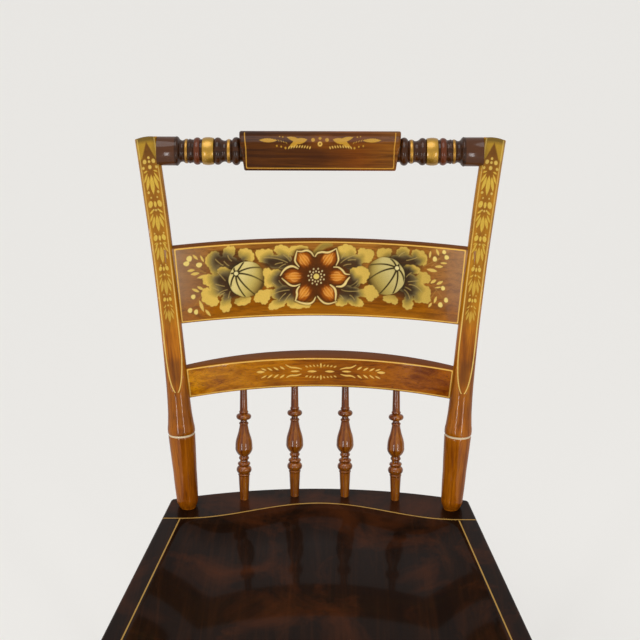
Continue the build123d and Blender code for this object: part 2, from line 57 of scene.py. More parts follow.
class Nodes:  # short calls for the node tree of a material or the world
    def __init__(self, owner, last="Principled BSDF"):
        owner.use_nodes = True
        self.owner, self.tree = owner, owner.node_tree
        self.last = self.tree.nodes[last]

    def fill(self, node, inputs):  # a socket is linked, any other value is set
        for key, value in inputs.items():
            if isinstance(value, bpy.types.NodeSocket):
                self.tree.links.new(value, node.inputs[key])
            else:
                node.inputs[key].default_value = value

    def finish(self, inputs):
        self.fill(self.last, inputs)
        return self.owner

    def add(self, kind, inputs=(), **settings):
        node = self.tree.nodes.new(kind)
        for key, value in settings.items():
            setattr(node, key, value)
        self.fill(node, dict(inputs))
        return node

    def attribute(self, name, output="Vector"):
        return self.add("ShaderNodeAttribute", attribute_name=name).outputs[output]

    def parts(self, vector):
        return self.add("ShaderNodeSeparateXYZ", {0: vector}).outputs

    def math(self, operation, *values):
        return self.add("ShaderNodeMath", enumerate(values), operation=operation).outputs[0]

    def mix(self, factor, a, b, blend="MIX"):
        return self.add("ShaderNodeMix", {0: factor, 6: a, 7: b}, data_type="RGBA", blend_type=blend).outputs[2]

    def span(self, value, low, high, least=0.0, most=1.0):
        return self.add("ShaderNodeMapRange", {0: value, 1: low, 2: high, 3: least, 4: most}).outputs[0]

    def ramp(self, factor, stops):
        node = self.add("ShaderNodeValToRGB", {0: factor})
        points = node.color_ramp.elements
        while len(points) < len(stops):
            points.new(1.0)
        for point, (place, colour) in zip(points, stops):
            point.position = place
            point.color = tintAlpha(colour) if isinstance(colour, str) else (colour, colour, colour, 1)
        return node.outputs[0]

    def noise(self, vector, scale, detail=4.0, roughness=0.55, distortion=0.0):
        values = {"Vector": vector, "Scale": scale, "Detail": detail}
        values |= {"Roughness": roughness, "Distortion": distortion}
        return self.add("ShaderNodeTexNoise", values).outputs["Fac"]

    def stretch(self, vector, along):  # a small number draws the pattern out along the third part
        return self.add("ShaderNodeMapping", {"Vector": vector, "Scale": (1, 1, along)}).outputs[0]

    def bump(self, height, strength, distance):
        return self.add("ShaderNodeBump", {"Height": height, "Strength": strength, "Distance": distance}).outputs[0]


def varnishedWood(name, look):
    # stained wood under a clear coat: grain runs along the third part of each piece's own grain attribute
    m = Nodes(bpy.data.materials.new(name))
    grain, place = m.attribute("grain"), m.add("ShaderNodeTexCoord").outputs["Object"]
    figure = m.noise(m.stretch(grain, look["grainStretch"]), look["figureScale"], 6, 0.62, 0.8)
    streaks = m.noise(m.stretch(grain, 0.03), 900, 3, 0.6)
    clouds = m.noise(place, look["cloudScale"], 3, 0.6)
    wood = m.ramp(figure, list(zip(look["toneSteps"], look["tones"])))
    wood = m.mix(1.0, wood, m.ramp(streaks, ((0.30, look["poreDark"]), (0.46, 1.0))), "MULTIPLY")
    cloudy = m.math("MULTIPLY", m.ramp(clouds, ((0.42, 0.0), (0.70, 1.0))), look["cloudShare"])
    wood = m.mix(cloudy, wood, tintAlpha(look["cloudTone"]))
    if look["woodAndSheenTones"]:  # a tone ramp along one way of the chair: the wood's own change of tone, and on the pillow and the wide slat's upper face a painted sheen
        part = m.span(m.parts(place)[look["shadeWay"]], *look["shadeSpan"])
        part = m.math("ADD", part, m.math("MULTIPLY_ADD", m.noise(place, 14, 2), 0.3, -0.15))
        wood = m.mix(1.0, wood, m.ramp(part, look["woodAndSheenTones"]), "MULTIPLY")
    metal = 0.0
    if "bands" in look:  # painted rings, by distance from the middle of the stick
        along = m.parts(grain)[2]
        if look["bothWays"]:
            along = m.math("ABSOLUTE", along)
        for start, end, colour, leafed in look["bands"]:
            middle, half = (start + end) / 2 * mm, (end - start) / 2 * mm
            near = m.math("ABSOLUTE", m.math("SUBTRACT", along, middle))
            cover = m.span(near, half + 0.0002, half - 0.0001)
            wood = m.mix(cover, wood, tintAlpha(colour))
            if leafed:
                metal = m.math("MAXIMUM", metal, m.math("MULTIPLY", cover, 0.85))
    if look["painted"]:  # bronze and colour laid on the wood before the coat
        speckle = m.ramp(m.noise(place, 2600, 2, 0.7), ((0.35, 0.80), (0.62, 1.08)))
        worn = m.ramp(m.noise(place, 700, 3, 0.7), ((0.28, 0.72), (0.40, 1.0)))
        colour = m.mix(1.0, m.attribute("paint", "Color"), speckle, "MULTIPLY")
        wood = m.mix(m.math("MULTIPLY", m.attribute("paint", "Alpha"), worn), wood, colour)
    ripple = m.noise(m.stretch(grain, 0.25), 160, 3, 0.5)
    height = m.math("ADD", m.math("MULTIPLY", ripple, 0.6), m.math("MULTIPLY", streaks, 0.12))
    return m.finish({
        "Base Color": wood, "Metallic": metal, "Specular IOR Level": 0.02,
        "Roughness": m.span(clouds, 0, 1, look["roughness"] - 0.05, look["roughness"] + 0.08),
        "Normal": m.bump(height, look["bump"], 0.0006),
        "Coat Normal": m.bump(m.noise(place, 55, 2, 0.5), 0.10, 0.0008), "Coat IOR": 1.5,
        "Coat Weight": look["coat"], "Coat Roughness": look["coatRoughness"],
    })


amber = {
    "grainStretch": 0.06, "figureScale": 150, "cloudScale": 16, "poreDark": 0.5,
    "toneSteps": (0.28, 0.42, 0.56, 0.78), "tones": ("#743c02", "#a66a04", "#c48608", "#dca014"),
    "cloudShare": 0.5, "cloudTone": "#6e3806", "roughness": 0.42, "bump": 0.25,
    "coat": 0.16, "coatRoughness": 0.05, "painted": True, "bothWays": False,
    "shadeWay": 0, "shadeSpan": (-0.14, 0.14), "woodAndSheenTones": ((0.0, "#fff0b8"), (0.45, "#dcbc88"), (1.0, "#c49864")),
}
# the wide slat's ramp is yellow low down, the wood's colour, and paler higher up as a painted sheen
brownFace = dict(
    amber, tones=("#5e3812", "#865822", "#9e6c2c", "#b4803a"), cloudTone="#74461c", coat=0.03,
    shadeWay=2, shadeSpan=(0.648, 0.722),
    woodAndSheenTones=((0.0, "#ffd830"), (0.16, "#ffdc50"), (0.32, "#f6d898"), (0.6, "#f8e4cc"), (1.0, "#fff0e0")))
postWood = dict(
    amber, tones=("#744206", "#a0660a", "#be8010", "#d49a26"), coat=0.4,
    shadeWay=2, shadeSpan=(0.44, 0.84),
    woodAndSheenTones=((0.0, "#dcb488"), (0.30, "#d8b88c"), (0.50, "#f4d8b0"), (0.62, "#ffffff"), (1.0, "#ffffff")),
    bands=((83.4, 85.4, "#d8c4a0", False),))
redBrown = dict(
    amber, tones=("#341204", "#6a3006", "#92500a", "#b87616"), cloudTone="#4c1e04", coat=0.8,
    painted=False, woodAndSheenTones=None)
darkCrest = dict(
    amber, tones=("#180b04", "#2a1507", "#381d0a", "#48270d"), cloudTone="#5e3006", cloudShare=0.45,
    coat=0.45, coatRoughness=0.12, painted=False, bothWays=True, woodAndSheenTones=None,
    bands=((93.2, 96.0, "#a87a28", True), (110.2, 121.8, "#a67e2c", True), (137.4, 139.8, "#9a6e22", True),
           (124.6, 130.2, "#5e2c12", False), (150.6, 176.0, "#4e2c16", False)))
# the pillow's ramp is painted light: the left end dimmed and the right end lit amber as by a reflection
pillowWood = dict(
    amber, tones=("#381c06", "#60360c", "#7e4a10", "#965e16"), cloudTone="#5e3006", cloudShare=0.45,
    coat=0.2, coatRoughness=0.12, shadeSpan=(-0.08, 0.08),
    woodAndSheenTones=((0.0, "#a89c90"), (0.50, "#b8a890"), (0.72, "#ffe8b8"), (1.0, "#ffffff")))


def inside(gap, soft=0.35):  # gap in mm, below nought inside the shape
    return unit(0.5 - gap / soft)


def softLeast(gaps, blend):
    return -blend * np.log(sum(np.exp(np.clip(-gap / blend, -60, 60)) for gap in gaps))


class Face:  # a face to paint on: where its points lie, in mm, and the coats laid on them so far
    def __init__(self, u, v, coats=None):
        self.u, self.v = u, v
        self.coats = np.zeros((len(u), 4)) if coats is None else coats

    def turned(self, x, y, turn):  # the same face, measured from another point and at another turn
        c, s = math.cos(math.radians(turn)), math.sin(math.radians(turn))
        return Face((self.u - x) * c + (self.v - y) * s, (self.v - y) * c - (self.u - x) * s, self.coats)

    def lay(self, cover, colour):  # one coat over what is there, in one colour or one for each point
        colour = tint(colour) if isinstance(colour, str) else colour
        cover = unit(cover)
        under = self.coats[:, 3] * (1 - cover)
        total = np.maximum(cover + under, 1e-6)
        self.coats[:, :3] = (colour * cover[:, None] + self.coats[:, :3] * under[:, None]) / total[:, None]
        self.coats[:, 3] = cover + under

    def fill(self, gap, colour, soft=0.35, share=1):
        self.lay(inside(gap, soft) * share, colour)

    def oval(self, x, y, rx, ry, turn=0, wave=0, waves=5, phase=0):
        p = self.turned(x, y, turn)
        ring = 1 + wave * (2 * np.abs(np.sin(waves / 2 * np.arctan2(p.v / ry, p.u / rx) + phase)) - 1)
        return (np.hypot(p.u / rx, p.v / ry) - ring) * min(rx, ry)

    def leaf(self, x0, y0, x1, y1, wide, lean=0.0):  # pointed at both ends, fuller towards the second by lean
        length = math.hypot(x1 - x0, y1 - y0) / 2
        p = self.turned((x0 + x1) / 2, (y0 + y1) / 2, math.degrees(math.atan2(y1 - y0, x1 - x0)))
        t, away = p.u / length, np.abs(p.v)
        half = wide * unit(1 - t * t) * (1 + lean * t)
        return np.where(np.abs(t) < 1, away - half, (np.abs(t) - 1) * length + away)

    def line(self, points, half, ends=1.0):  # a brushed line; its ends are this share of its middle's half width
        gap, count = np.full(len(self.u), 99.0), len(points) - 1
        for k, ((x0, y0), (x1, y1)) in enumerate(zip(points, points[1:])):
            run = max(math.hypot(x1 - x0, y1 - y0), 1e-6)
            t = unit(((self.u - x0) * (x1 - x0) + (self.v - y0) * (y1 - y0)) / run**2)
            away = np.hypot(self.u - x0 - t * (x1 - x0), self.v - y0 - t * (y1 - y0))
            gap = np.minimum(gap, away - half * (ends + (1 - ends) * np.sin(np.pi * (k + t) / count)))
        return gap

    def brush(self, points, half):
        return self.line(points, half, 0.4)


def curve(start, middle, end, steps=10):
    shares = [((1 - t) ** 2, 2 * t * (1 - t), t * t) for t in (k / steps for k in range(steps + 1))]
    return [tuple(f * a + g * b + h * c for a, b, c in zip(start, middle, end)) for f, g, h in shares]


def flowing(points, steps=6):  # a smooth line through the points
    p = np.array([points[0], *points, points[-1]], float)
    out = []
    for a, b, c, d in zip(p, p[1:], p[2:], p[3:]):
        for t in np.arange(steps) / steps:
            out.append(b + 0.5 * ((c - a) * t + (2 * a - 5 * b + 4 * c - d) * t**2 + (3 * b - a - 3 * c + d) * t**3))
    return [tuple(point) for point in out] + [tuple(points[-1])]


def ramp(t, stops):  # colours along t
    keys, tones = [k for k, _ in stops], np.array([tint(c) for _, c in stops])
    return np.stack([np.interp(t, keys, tones[:, n]) for n in range(3)], 1)


# bronze stencil of the wide slat, in mm from the middle of its lower edge
stencil = {
    "flower": (-4, 44), "petals": ((180, 38), (0, 35.5), (125.5, 36), (56.5, 36.5), (-127, 34.5), (-53, 34)),
    "leafRamp": ((0.0, "#342a20"), (0.25, "#453a28"), (0.50, "#786640"), (0.74, "#b09444"), (0.90, "#cca84c"),
                 (1.0, "#dcb654")),
    "melonRamp": ((0.0, "#dac67e"), (0.4, "#c0a858"), (0.7, "#987e3c"), (1.0, "#5a4420")),
    "petalRamp": ((0.0, "#4a220c"), (0.3, "#74380e"), (0.62, "#a85814"), (1.0, "#d08024")),
    "petalLines": (  # the cream edge strokes, each through its points, and the fullest half width
        ((-42.5, 45.5), (-38.5, 51.5), (-33.5, 54.8), (-28.5, 55.2), (-23.5, 52.6), 1.35),
        ((-41, 42.6), (-36.5, 38.4), (-32, 34.8), (-27, 33.8), (-21.5, 35.6), 1.0),
        ((-24.6, 72.2), (-26.2, 66), (-26.6, 60.5), (-22.4, 54.6), 1.05),
        ((-25.0, 71.6), (-19.5, 71.4), (-14.5, 72.4), (-10, 70.6), (-6.8, 66.2), 1.1),
        ((-5.4, 65.6), (-2.6, 69.4), (2.5, 70.6), (8, 70.2), (12.6, 71.8), (17.2, 74.6), 1.15),
        ((17.2, 74.4), (18.9, 68), (19.6, 62), (17.2, 56.4), 1.0),
        ((14.4, 54.4), (19.6, 54.2), (24, 51), (27, 47.4), (31.6, 46.6), 1.05),
        ((31.6, 43.6), (28.4, 39.4), (26.4, 35.8), (22.8, 33.4), (17.6, 33.2), 1.55),
        ((10.8, 35), (15.2, 31.4), (17, 26), (16.6, 18), 1.3),
        ((17.6, 16.6), (10.4, 14.2), (5, 14.8), (0.6, 18), (-2.8, 22.4), 1.05),
        ((-22, 33.6), (-24.8, 29), (-24.8, 23.6), (-26.6, 17.4), 1.25),
        ((-26.6, 17.8), (-20.4, 15.2), (-12.4, 14), (-7.4, 16.4), (-4.8, 21.4), 1.1)),
    "curl": ((-8, 68), (-2, 72.5), (3.5, 77), (12, 78.5)),
    "cream": "#e8cc82", "rib": "#33240f", "berry": "#e8cd74", "sprigLeaf": "#dcb95c", "stem": "#b0883e",
}
# each leaf: the line of its dark heart, how far the dark reaches, lobes (x, y, rx, ry and a turn if any), veins
leaves = (
    {"heart": ((-107, 65), (-88, 60)), "reach": 17, "lobes": ((-113, 66, 7.5, 8), (-112, 57, 5, 6, 20),
     (-112, 72, 5, 4), (-118, 66, 3.5, 6), (-111, 51, 3.2, 4), (-97, 73, 6, 7), (-93, 76, 3, 4), (-79, 70, 7, 6.5),
     (-83, 72, 4, 4.5), (-74, 67, 4, 6), (-99, 63, 13, 6, -8)), "veins": (((-111, 67), (-106, 61), (-103, 60)),
     ((-102, 64), (-99, 60), (-97, 59)), ((-98, 70), (-97, 66), (-94, 64)))},
    {"heart": ((-103, 43), (-96, 32)), "reach": 19, "lobes": ((-103.5, 54.5, 5.5, 3.5), (-100, 51, 6, 5),
     (-118, 45, 6.5, 6), (-119, 48.5, 5, 3), (-118, 27, 8, 8), (-121, 31, 5, 6), (-114, 21, 6, 5), (-112, 32, 6, 6),
     (-101, 16, 6, 7.5), (-100, 23, 5, 5), (-84, 19, 7.5, 4.5), (-79, 21, 5, 5), (-104, 39, 13, 12)),
     "veins": (((-109, 53), (-104, 47), (-101, 43)), ((-111, 40), (-106, 38), (-102, 37)),
     ((-115, 37), (-112, 35), (-108, 33)), ((-111, 26), (-107, 32), (-99, 33)), ((-107, 26), (-105, 29), (-102, 30)),
     ((-98, 24), (-97, 28), (-96, 31)))},
    {"heart": ((-52, 60), (-32, 58)), "reach": 15, "lobes": ((-61, 69, 6.5, 6), (-66, 71, 3, 3.5), (-55, 70, 5, 5),
     (-58, 64, 8, 4), (-42, 74, 7, 5), (-38, 70, 6, 7), (-22, 74.5, 9.5, 3.5), (-29, 72, 5, 5), (-43, 61, 13, 8)),
     "veins": (((-60, 65.5), (-46, 66), (-35, 59.5)), ((-48, 58), (-44, 59.5), (-40, 59.5)),
     ((-44, 54), (-41, 57), (-37, 58)), ((-39, 68), (-35, 65), (-32, 61)), ((-33, 70), (-31, 66), (-31, 62)))},
    {"heart": ((-42, 42), (-33, 36)), "reach": 15, "lobes": ((-56, 48, 4.5, 6), (-55.5, 39, 4.3, 6.5),
     (-58.5, 50, 2.5, 4), (-50, 42, 5, 8), (-47, 49, 5.5, 3.6), (-43, 40, 10, 8)),
     "veins": (((-51, 38), (-48, 35), (-44, 32)), ((-44, 40), (-42, 36), (-37, 33)))},
    {"heart": ((-40, 27), (-28, 29)), "reach": 16, "lobes": ((-61, 24, 8, 6.5), (-67, 21, 4, 4), (-55, 27, 6, 4),
     (-60, 18, 4, 3.5), (-47, 14, 7.5, 5, 15), (-52, 11, 3.5, 3), (-42, 16, 5, 5), (-24, 13, 10, 4.3),
     (-14, 12.6, 4, 3.3), (-31, 16, 5, 5), (-38, 25, 13, 9)), "veins": (((-53, 24), (-45, 29), (-33, 29.5)),
     ((-44, 18), (-42, 22), (-37, 26)), ((-39, 15), (-36, 21), (-32, 25)))},
    {"heart": ((23, 57), (36, 57)), "reach": 16, "lobes": ((28, 73, 8, 6.5), (22, 71, 4.5, 6), (34, 72, 4.5, 5),
     (49, 69, 8, 6), (54, 70, 3.5, 4.5), (45, 72, 4.5, 4), (50, 64, 5, 4), (33, 61, 13, 8)),
     "veins": (((22, 59), (30, 67), (43, 69)), ((30, 62), (33, 63), (38, 63)), ((25, 56), (28, 58), (33, 58)),
     ((23, 64), (24, 67), (27, 70)))},
    {"heart": ((28, 42), (34, 36)), "reach": 14, "lobes": ((42, 48, 9, 7), (48, 48, 5, 6), (44, 53, 5, 3),
     (36, 50, 4, 4), (46, 41, 4, 4), (36, 41, 9, 8)), "veins": (((31, 34), (36, 35), (40, 40)),
     ((34, 32), (38, 33), (41, 37)))},
    {"heart": ((22, 29), (34, 27)), "reach": 16, "lobes": ((53, 28, 8, 7), (58, 26, 5, 4), (54, 32, 4.5, 4),
     (54, 21.5, 4, 3.6), (46, 27, 6, 4), (22, 16, 6.5, 4.5), (26, 17, 4, 4), (38, 17, 6.5, 5), (43, 15, 4, 3.5),
     (34, 18, 4, 4), (30, 26, 14, 8)), "veins": (((23, 30), (27, 27), (42, 29)), ((32, 24), (35, 23), (37, 19)),
     ((21, 24), (23, 23), (25, 20)))},
    {"heart": ((80, 63), (98, 62)), "reach": 15, "lobes": ((68, 70.5, 7, 6), (64, 71, 3.5, 5), (73, 74, 3.5, 3),
     (89, 75, 6, 4.6), (85, 73, 4, 4), (106, 69, 7, 8), (102, 73, 5, 4.5), (110, 67, 3.5, 6), (90, 65, 16, 6)),
     "veins": (((92, 65), (97, 66), (103, 69)), ((84, 69), (86, 72), (90, 74)))},
    {"heart": ((88, 52), (93, 52)), "reach": 11, "lobes": ((98, 56, 8, 4.5, -8), (93, 57, 4, 3), (103, 55, 3.5, 3.5)),
     "veins": ()},
    {"heart": ((91, 45), (94, 33)), "reach": 18, "lobes": ((110, 48, 6.5, 6), (113, 47, 4.5, 5), (109, 30, 8.5, 8.5),
     (113, 25, 5, 5), (113, 34, 4.5, 5), (105, 24, 5, 4.2), (94, 18, 5.8, 6.5), (95, 24, 4.5, 4), (75, 22, 7.5, 4.5),
     (80, 20, 3.5, 4), (98, 38, 13, 12)), "veins": (((94, 42), (99, 43), (105, 44)), ((92, 47), (94, 50), (97, 52)),
     ((95, 39), (102, 40), (109, 32)), ((91, 36), (94, 35), (97, 33)), ((90, 33), (94, 31), (96, 24)))},
)
melons = (  # ribs as the middle and end of each, all of them starting at the node
    {"middle": (-78, 43), "r": 19.2, "node": (-89.5, 50), "towards": 1,
     "ribs": (((-84, 58), (-81, 62.5)), ((-75, 58.5), (-59, 54)), ((-74, 50), (-59, 38)), ((-84, 38), (-70, 26)),
     ((-91, 38), (-80, 24)), ((-94, 47), (-95.5, 36)), ((-93, 50.5), (-98, 50.5)), ((-92, 53), (-92, 58)))},
    {"middle": (70, 46.5), "r": 20.3, "node": (82, 56), "towards": -1,
     "ribs": (((80, 62), (75, 66)), ((70, 62.5), (50, 57)), ((66, 55), (51, 41)), ((78, 42), (64, 27)),
     ((85, 42), (78, 28)), ((89, 52), (90, 41)), ((84, 59), (85, 63)))},
)
sprigs = {
    "berries": ((-138, 70, 2.8, 3.1), (-141, 65, 3.0, 2.5), (-128, 62.4, 3.1, 2.6), (-134.6, 28.5, 2.3, 2.5),
        (-138.2, 14, 2.3, 2.7), (-132, 11.6, 2.1, 2.8), (121.5, 69, 2.2, 2.7), (131, 77.4, 1.9, 2.2),
        (133.6, 72, 2.3, 2.4), (130.6, 38.4, 2.1, 2.4), (134, 25.8, 2.1, 2.7), (128.2, 20, 2.3, 2.8)),
    "leaves": ((-134.5, 74, -129, 68, 1.2), (-126.5, 72.5, -123, 65, 1.1), (-140.5, 57, -132.5, 57.4, 1.5),
        (-137, 53, -127.5, 53.6, 1.7), (-130.5, 48.4, -118, 50.4, 1.7), (-136, 37.4, -128, 33, 1.4),
        (-130.5, 39.4, -123.5, 34.8, 1.4), (-128.5, 24, -124, 11, 1.7), (-122.5, 13.5, -116.8, 5.5, 1.4),
        (116, 69.5, 117, 77.5, 1.2), (123, 80, 125.5, 73, 1.3), (127, 65.3, 134.5, 65.7, 1.1),
        (121.5, 60.8, 130.5, 61.8, 1.4), (113, 57.2, 124.5, 56, 1.7), (117.5, 42.4, 123.5, 47, 1.5),
        (123.5, 41.6, 130.5, 46, 1.5), (121.6, 21, 124.2, 29, 1.3), (115.8, 16, 119.2, 21.5, 1.2),
        (122, 38, 129.5, 39.5, 0.8)),
    "stems": (((-135, 63.5), (-128, 57), (-121, 53)), ((-134, 57), (-127, 56), (-122, 53)),
        ((-134, 18), (-129, 25), (-125, 30)), ((-131, 33), (-126, 31), (-122, 30)), ((109, 59), (116, 64), (128, 71)),
        ((118, 61), (122, 64), (126, 70)), ((120, 40), (124, 36), (130, 28)), ((117, 24), (120, 30), (124, 36))),
}


def powder(face, tone, name):  # the bronze is thinner on the right
    return ramp(tone, stencil[name]) * (1 - 0.2 * unit((face.u[:, None] - 20) / 60))


def paintLeaf(face, leaf, seed):
    lobes = []
    for n, (x, y, rx, ry, *turn) in enumerate(leaf["lobes"]):
        lobes.append(face.oval(x, y, rx, ry, sum(turn), 0.09, 7, seed + n * 1.7))
    gap = softLeast(lobes, 0.3)
    heart, reach = face.line(leaf["heart"], 0), leaf["reach"]
    turn = np.arctan2(face.v - leaf["heart"][1][1], face.u - leaf["heart"][1][0])
    tone = unit(heart / reach * (1 + 0.10 * np.sin(7 * turn + seed)) + 0.12 * unit(1 + gap / 2.5))
    face.fill(heart - 0.62 * reach, "#34281c", 9, 0.8)
    face.fill(gap + 0.3, "#3a2412", 1.6, 0.5 * unit(heart / reach))
    # the bronze powder is rubbed on at the lobes and dies away towards the heart
    face.fill(gap, powder(face, tone, "leafRamp"), 0.6, unit(0.25 + 1.5 * tone))
    for points in leaf["veins"]:
        face.fill(face.line(curve(*points), 0.375), "#b89c58", 0.6, 0.8)


def paintMelon(face, melon):
    (x, y), r, node = melon["middle"], melon["r"], melon["node"]
    towards = (face.u - x) / r * melon["towards"]  # one at the side next to the flower
    near, rim = unit(towards), (np.hypot(face.u - x, face.v - y) / r) ** 3
    gap = face.oval(x, y, r, r, 0, 0.012, 9)
    face.fill(gap - 2, "#2a2014", 9, unit(0.55 - towards) * 0.7)
    face.fill(gap - 0.4, "#1d140a", 2.6, 0.7)
    tone = unit(0.16 + 0.50 * towards - 0.34 * (face.v - y) / r + 0.5 * rim * near)
    face.fill(gap, powder(face, tone, "melonRamp"), 0.5, 1 - 0.3 * unit(towards * rim))
    run = np.hypot(face.u - node[0], face.v - node[1]) / r
    for middle, end in melon["ribs"]:
        rib = face.line(curve(node, middle, end), 1.0) + 0.22 * run
        face.fill(rib, stencil["rib"], 0.6, inside(gap + 0.4) * (1 - 0.35 * near))
    face.fill(face.oval(*node, 3.3, 3.3), stencil["rib"], 0.8)
    face.fill(face.oval(*node, 2.1, 2.1), "#e6d695")


def paintFlower(face):
    x, y = stencil["flower"]
    for half, share, colour in ((3.6, 0.85, "#b89a44"), (2.2, 0.5, "#6a5628")):
        face.fill(face.brush(flowing(stencil["curl"]), half), colour, 2, share)
    face.fill(face.oval(x, y, 30, 25), "#4e290f", 10, 0.92)
    petals = [(face.turned(x, y, turn), size) for turn, size in stencil["petals"]]
    for petal, size in petals:
        petal.fill(petal.oval(0.64 * size, 0, 0.36 * size, 10.4), "#62320f", 4.5, 0.95)
    for petal, size in petals:
        glow = 1 - np.hypot((petal.u - 0.66 * size) / 13, petal.v / 10.4)
        marks = 0.10 * np.sin(petal.v * 1.5 + 0.4 * np.sin(petal.u * 0.9))  # left by the brush along the petal
        petal.lay(glow * 2.4, ramp(unit(glow * 1.25 + marks), stencil["petalRamp"]))
        for side, start, end in ((-4.6, 0.50, 0.76), (-1.2, 0.44, 0.86), (2.6, 0.46, 0.82), (5.6, 0.54, 0.72)):
            streak = curve((start * size, side * 0.75), (0.64 * size, side * 1.1), (end * size, side * 0.5))
            petal.fill(petal.brush(streak, 0.75), "#eeaa52", 0.9, 0.6)
    edges = [(flowing(points), half) for *points, half in stencil["petalLines"]]
    for points, half in edges:
        face.fill(face.brush(points, half) - 1.0, "#38200e", 2.4, 0.6)
    for points, half in edges:
        face.fill(face.brush(points, 0.85 * half), stencil["cream"], 0.5)
    face.fill(face.oval(x, y, 12, 12), "#4e2a10", 7, 0.8)
    for n in range(22):
        spot, reach = math.tau * n / 22 + 0.2, (8.6, 5.6)[n % 2]
        face.fill(face.oval(x + reach * math.cos(spot), y + reach * math.sin(spot), 0.8, 0.95), "#dcc489", 0.5)
    face.fill(face.oval(x, y, 3.0, 3.0), "#e0c468", 0.6)


def slatLines(face, look):  # a gold line all round the face
    (ends, slope), height = look["line"], look["height"]
    sides = ends + slope * (face.v - height / 2) - np.abs(face.u)
    line = softLeast((sides, face.v - 2.2, height - 1.5 - face.v), 0.4)
    face.fill(np.abs(line) - 0.6, "#ecba58", 0.5)


def paintWideSlat(face):  # u along the slat, v up from its lower edge
    out, up = np.abs(face.u), face.v
    paintedSheen = np.where(face.u < 0, 0.55, 0.35) * unit((out - 112) / 36)
    face.lay(paintedSheen * np.clip(up / 30, 0.4, 1), "#a28468")  # painted sheen: a pale veil at both ends stands for the varnish's reflection there
    face.lay(0.315 * unit((16 - up) / 12) * unit((135 - out) / 30), "#b87a1c")  # and warm along the lower edge
    slatLines(face, wideSlat)
    for points in sprigs["stems"]:
        face.fill(face.line(curve(*points), 0.3), stencil["stem"], 0.6, 0.55)
    for x, y, rx, ry in sprigs["berries"]:
        face.fill(face.oval(x, y, rx, ry, 0, 0.05, 3, x), stencil["berry"])
    for leaf in sprigs["leaves"]:
        face.fill(face.leaf(*leaf), stencil["sprigLeaf"])
    for group, melon in (((0, 1), melons[:1]), ((8, 9, 10), melons[1:]), (range(2, 8), ())):
        for n in group:
            paintLeaf(face, leaves[n], n)
        for fruit in melon:
            paintMelon(face, fruit)
    paintFlower(face)


postStencil = {  # bells as top, tip and width, all heights above the seat
    "leaf": "#cca63c", "bud": "#d0ac44", "dot": "#cfac4e", "groundAndSheen": "#b87e18", "halo": "#764208",
    "bells": ((362, 341, 1), (321, 303, 0.95), (289, 270, 0.92), (255, 236, 0.85), (222.5, 207.5, 0.72)),
    "buds": ((331, 1), (296.5, 0.9), (264.5, 0.72), (232, 0.62)),
    "petals": ((0, -1, 0, -1, 2.2), (2.6, -2, 6, -0.78, 1.6), (3.6, 0.8, 8, -0.40, 1.1), (3, 3.2, 7.4, 0.08, 0.85)),
    "dots": ((4.6, 374.5, 1.9), (6.8, 368.5, 1.3), (0, 378, 1.2), (0, 374, 1.2), (0, 368.5, 1.8), (5, 343.5, 1.2),
        (3.2, 338, 0.8), (2.4, 325.5, 0.8), (0, 325, 1), (4.8, 301.5, 0.8), (0, 290.8, 0.9), (2.6, 268.5, 0.7),
        (0, 258.5, 0.9), (3.2, 237.5, 0.6), (0, 226, 0.8)),
}


def paintPost(face, half):  # u from the middle of the shaved face to either side, v above the seat
    out, rise, look = face.u, face.v, postStencil
    # the golden ground, laid thicker up the post; partly a painted sheen that brightens the upper face
    face.lay(unit((rise - 190) / 130) * 0.55, look["groundAndSheen"])
    face.fill(np.maximum(out - 7, np.abs(rise - 353) - 30), look["halo"], 6, 0.3)
    face.lay(np.clip((rise - 356) / 34, 0, 0.82), "#522a06")
    besideSpear = unit((out - 0.42 * (392.5 - rise)) / 1.2)
    face.lay(besideSpear * unit((rise - 376) / 3) * 0.9, "#b08824")
    # painted shade: the rounded top end is darkened
    face.lay(unit((rise - 392) / 4) * 0.75, "#544018")
    face.fill(np.maximum(out - half + 2.5, np.abs(rise - 155) - 12), "#5a3008", 8, 0.55)  # shade inside the arch
    for top, tip, wide in look["bells"]:  # petals falling from one point, the middle one longest
        length, shown = top - tip, 0.62 + 0.38 * min(1, (top - 200) / 150)
        face.fill(face.oval(0, top - 0.35 * length, 8.5 * wide, 0.78 * length), look["halo"], 6, 0.5 * shown)
        for x0, y0, x1, reach, petal in look["petals"]:
            gap = face.leaf(wide * x0, top + y0, wide * x1, top + reach * length, petal * wide)
            face.fill(gap, look["leaf"], 0.4, shown)
    for y, size in look["buds"]:
        face.fill(face.oval(0, y + 1, 7.5 * size, 6.5 * size), look["halo"], 5, 0.4)
        face.fill(face.oval(0, y, 1.4 * size, 3.0 * size), look["bud"], 0.4)
        face.fill(face.oval(4.8 * size, y + 0.5, 2.3 * size, 3.4 * size, 12), look["bud"], 0.4)
        face.fill(face.leaf(2.2, y - 5, 6.4 * size, y - 8.5, 0.8 * size), look["leaf"], 0.4)
    for x, y, r in look["dots"]:
        face.fill(face.oval(x, y, r, r * 1.15), look["dot"], 0.4)
    shown = (half > 2.5) * unit((398.2 - rise) / 0.6) * np.clip((400 - rise) / 200, 0.5, 0.9)
    face.fill(np.abs(out - half + 1.1) - 0.55, "#e8c468", 0.6, shown)
    face.coats[:, 3] *= out < half + 0.2


pillowStencil = {  # one half, in mm from the middle, up from the edge where the face starts to roll back
    "gold": "#b8882a", "pale": "#d4aa50",
    "leaves": ((44, 8.2, 63, 8.6, 2.3), (13, 9.4, 28.5, 6.2, 3.3), (19, 7.4, 34.5, 12.4, 2.5),
        (22.5, 6.2, 31.5, 1.4, 2.3)),
    "dots": ((7.2, 9, 1.9), (38.4, 12.4, 0.8), (41.6, 13, 0.7), (35.4, 0.4, 1.1), (39.8, 1.8, 0.9), (44.4, 2.6, 0.9)),
}


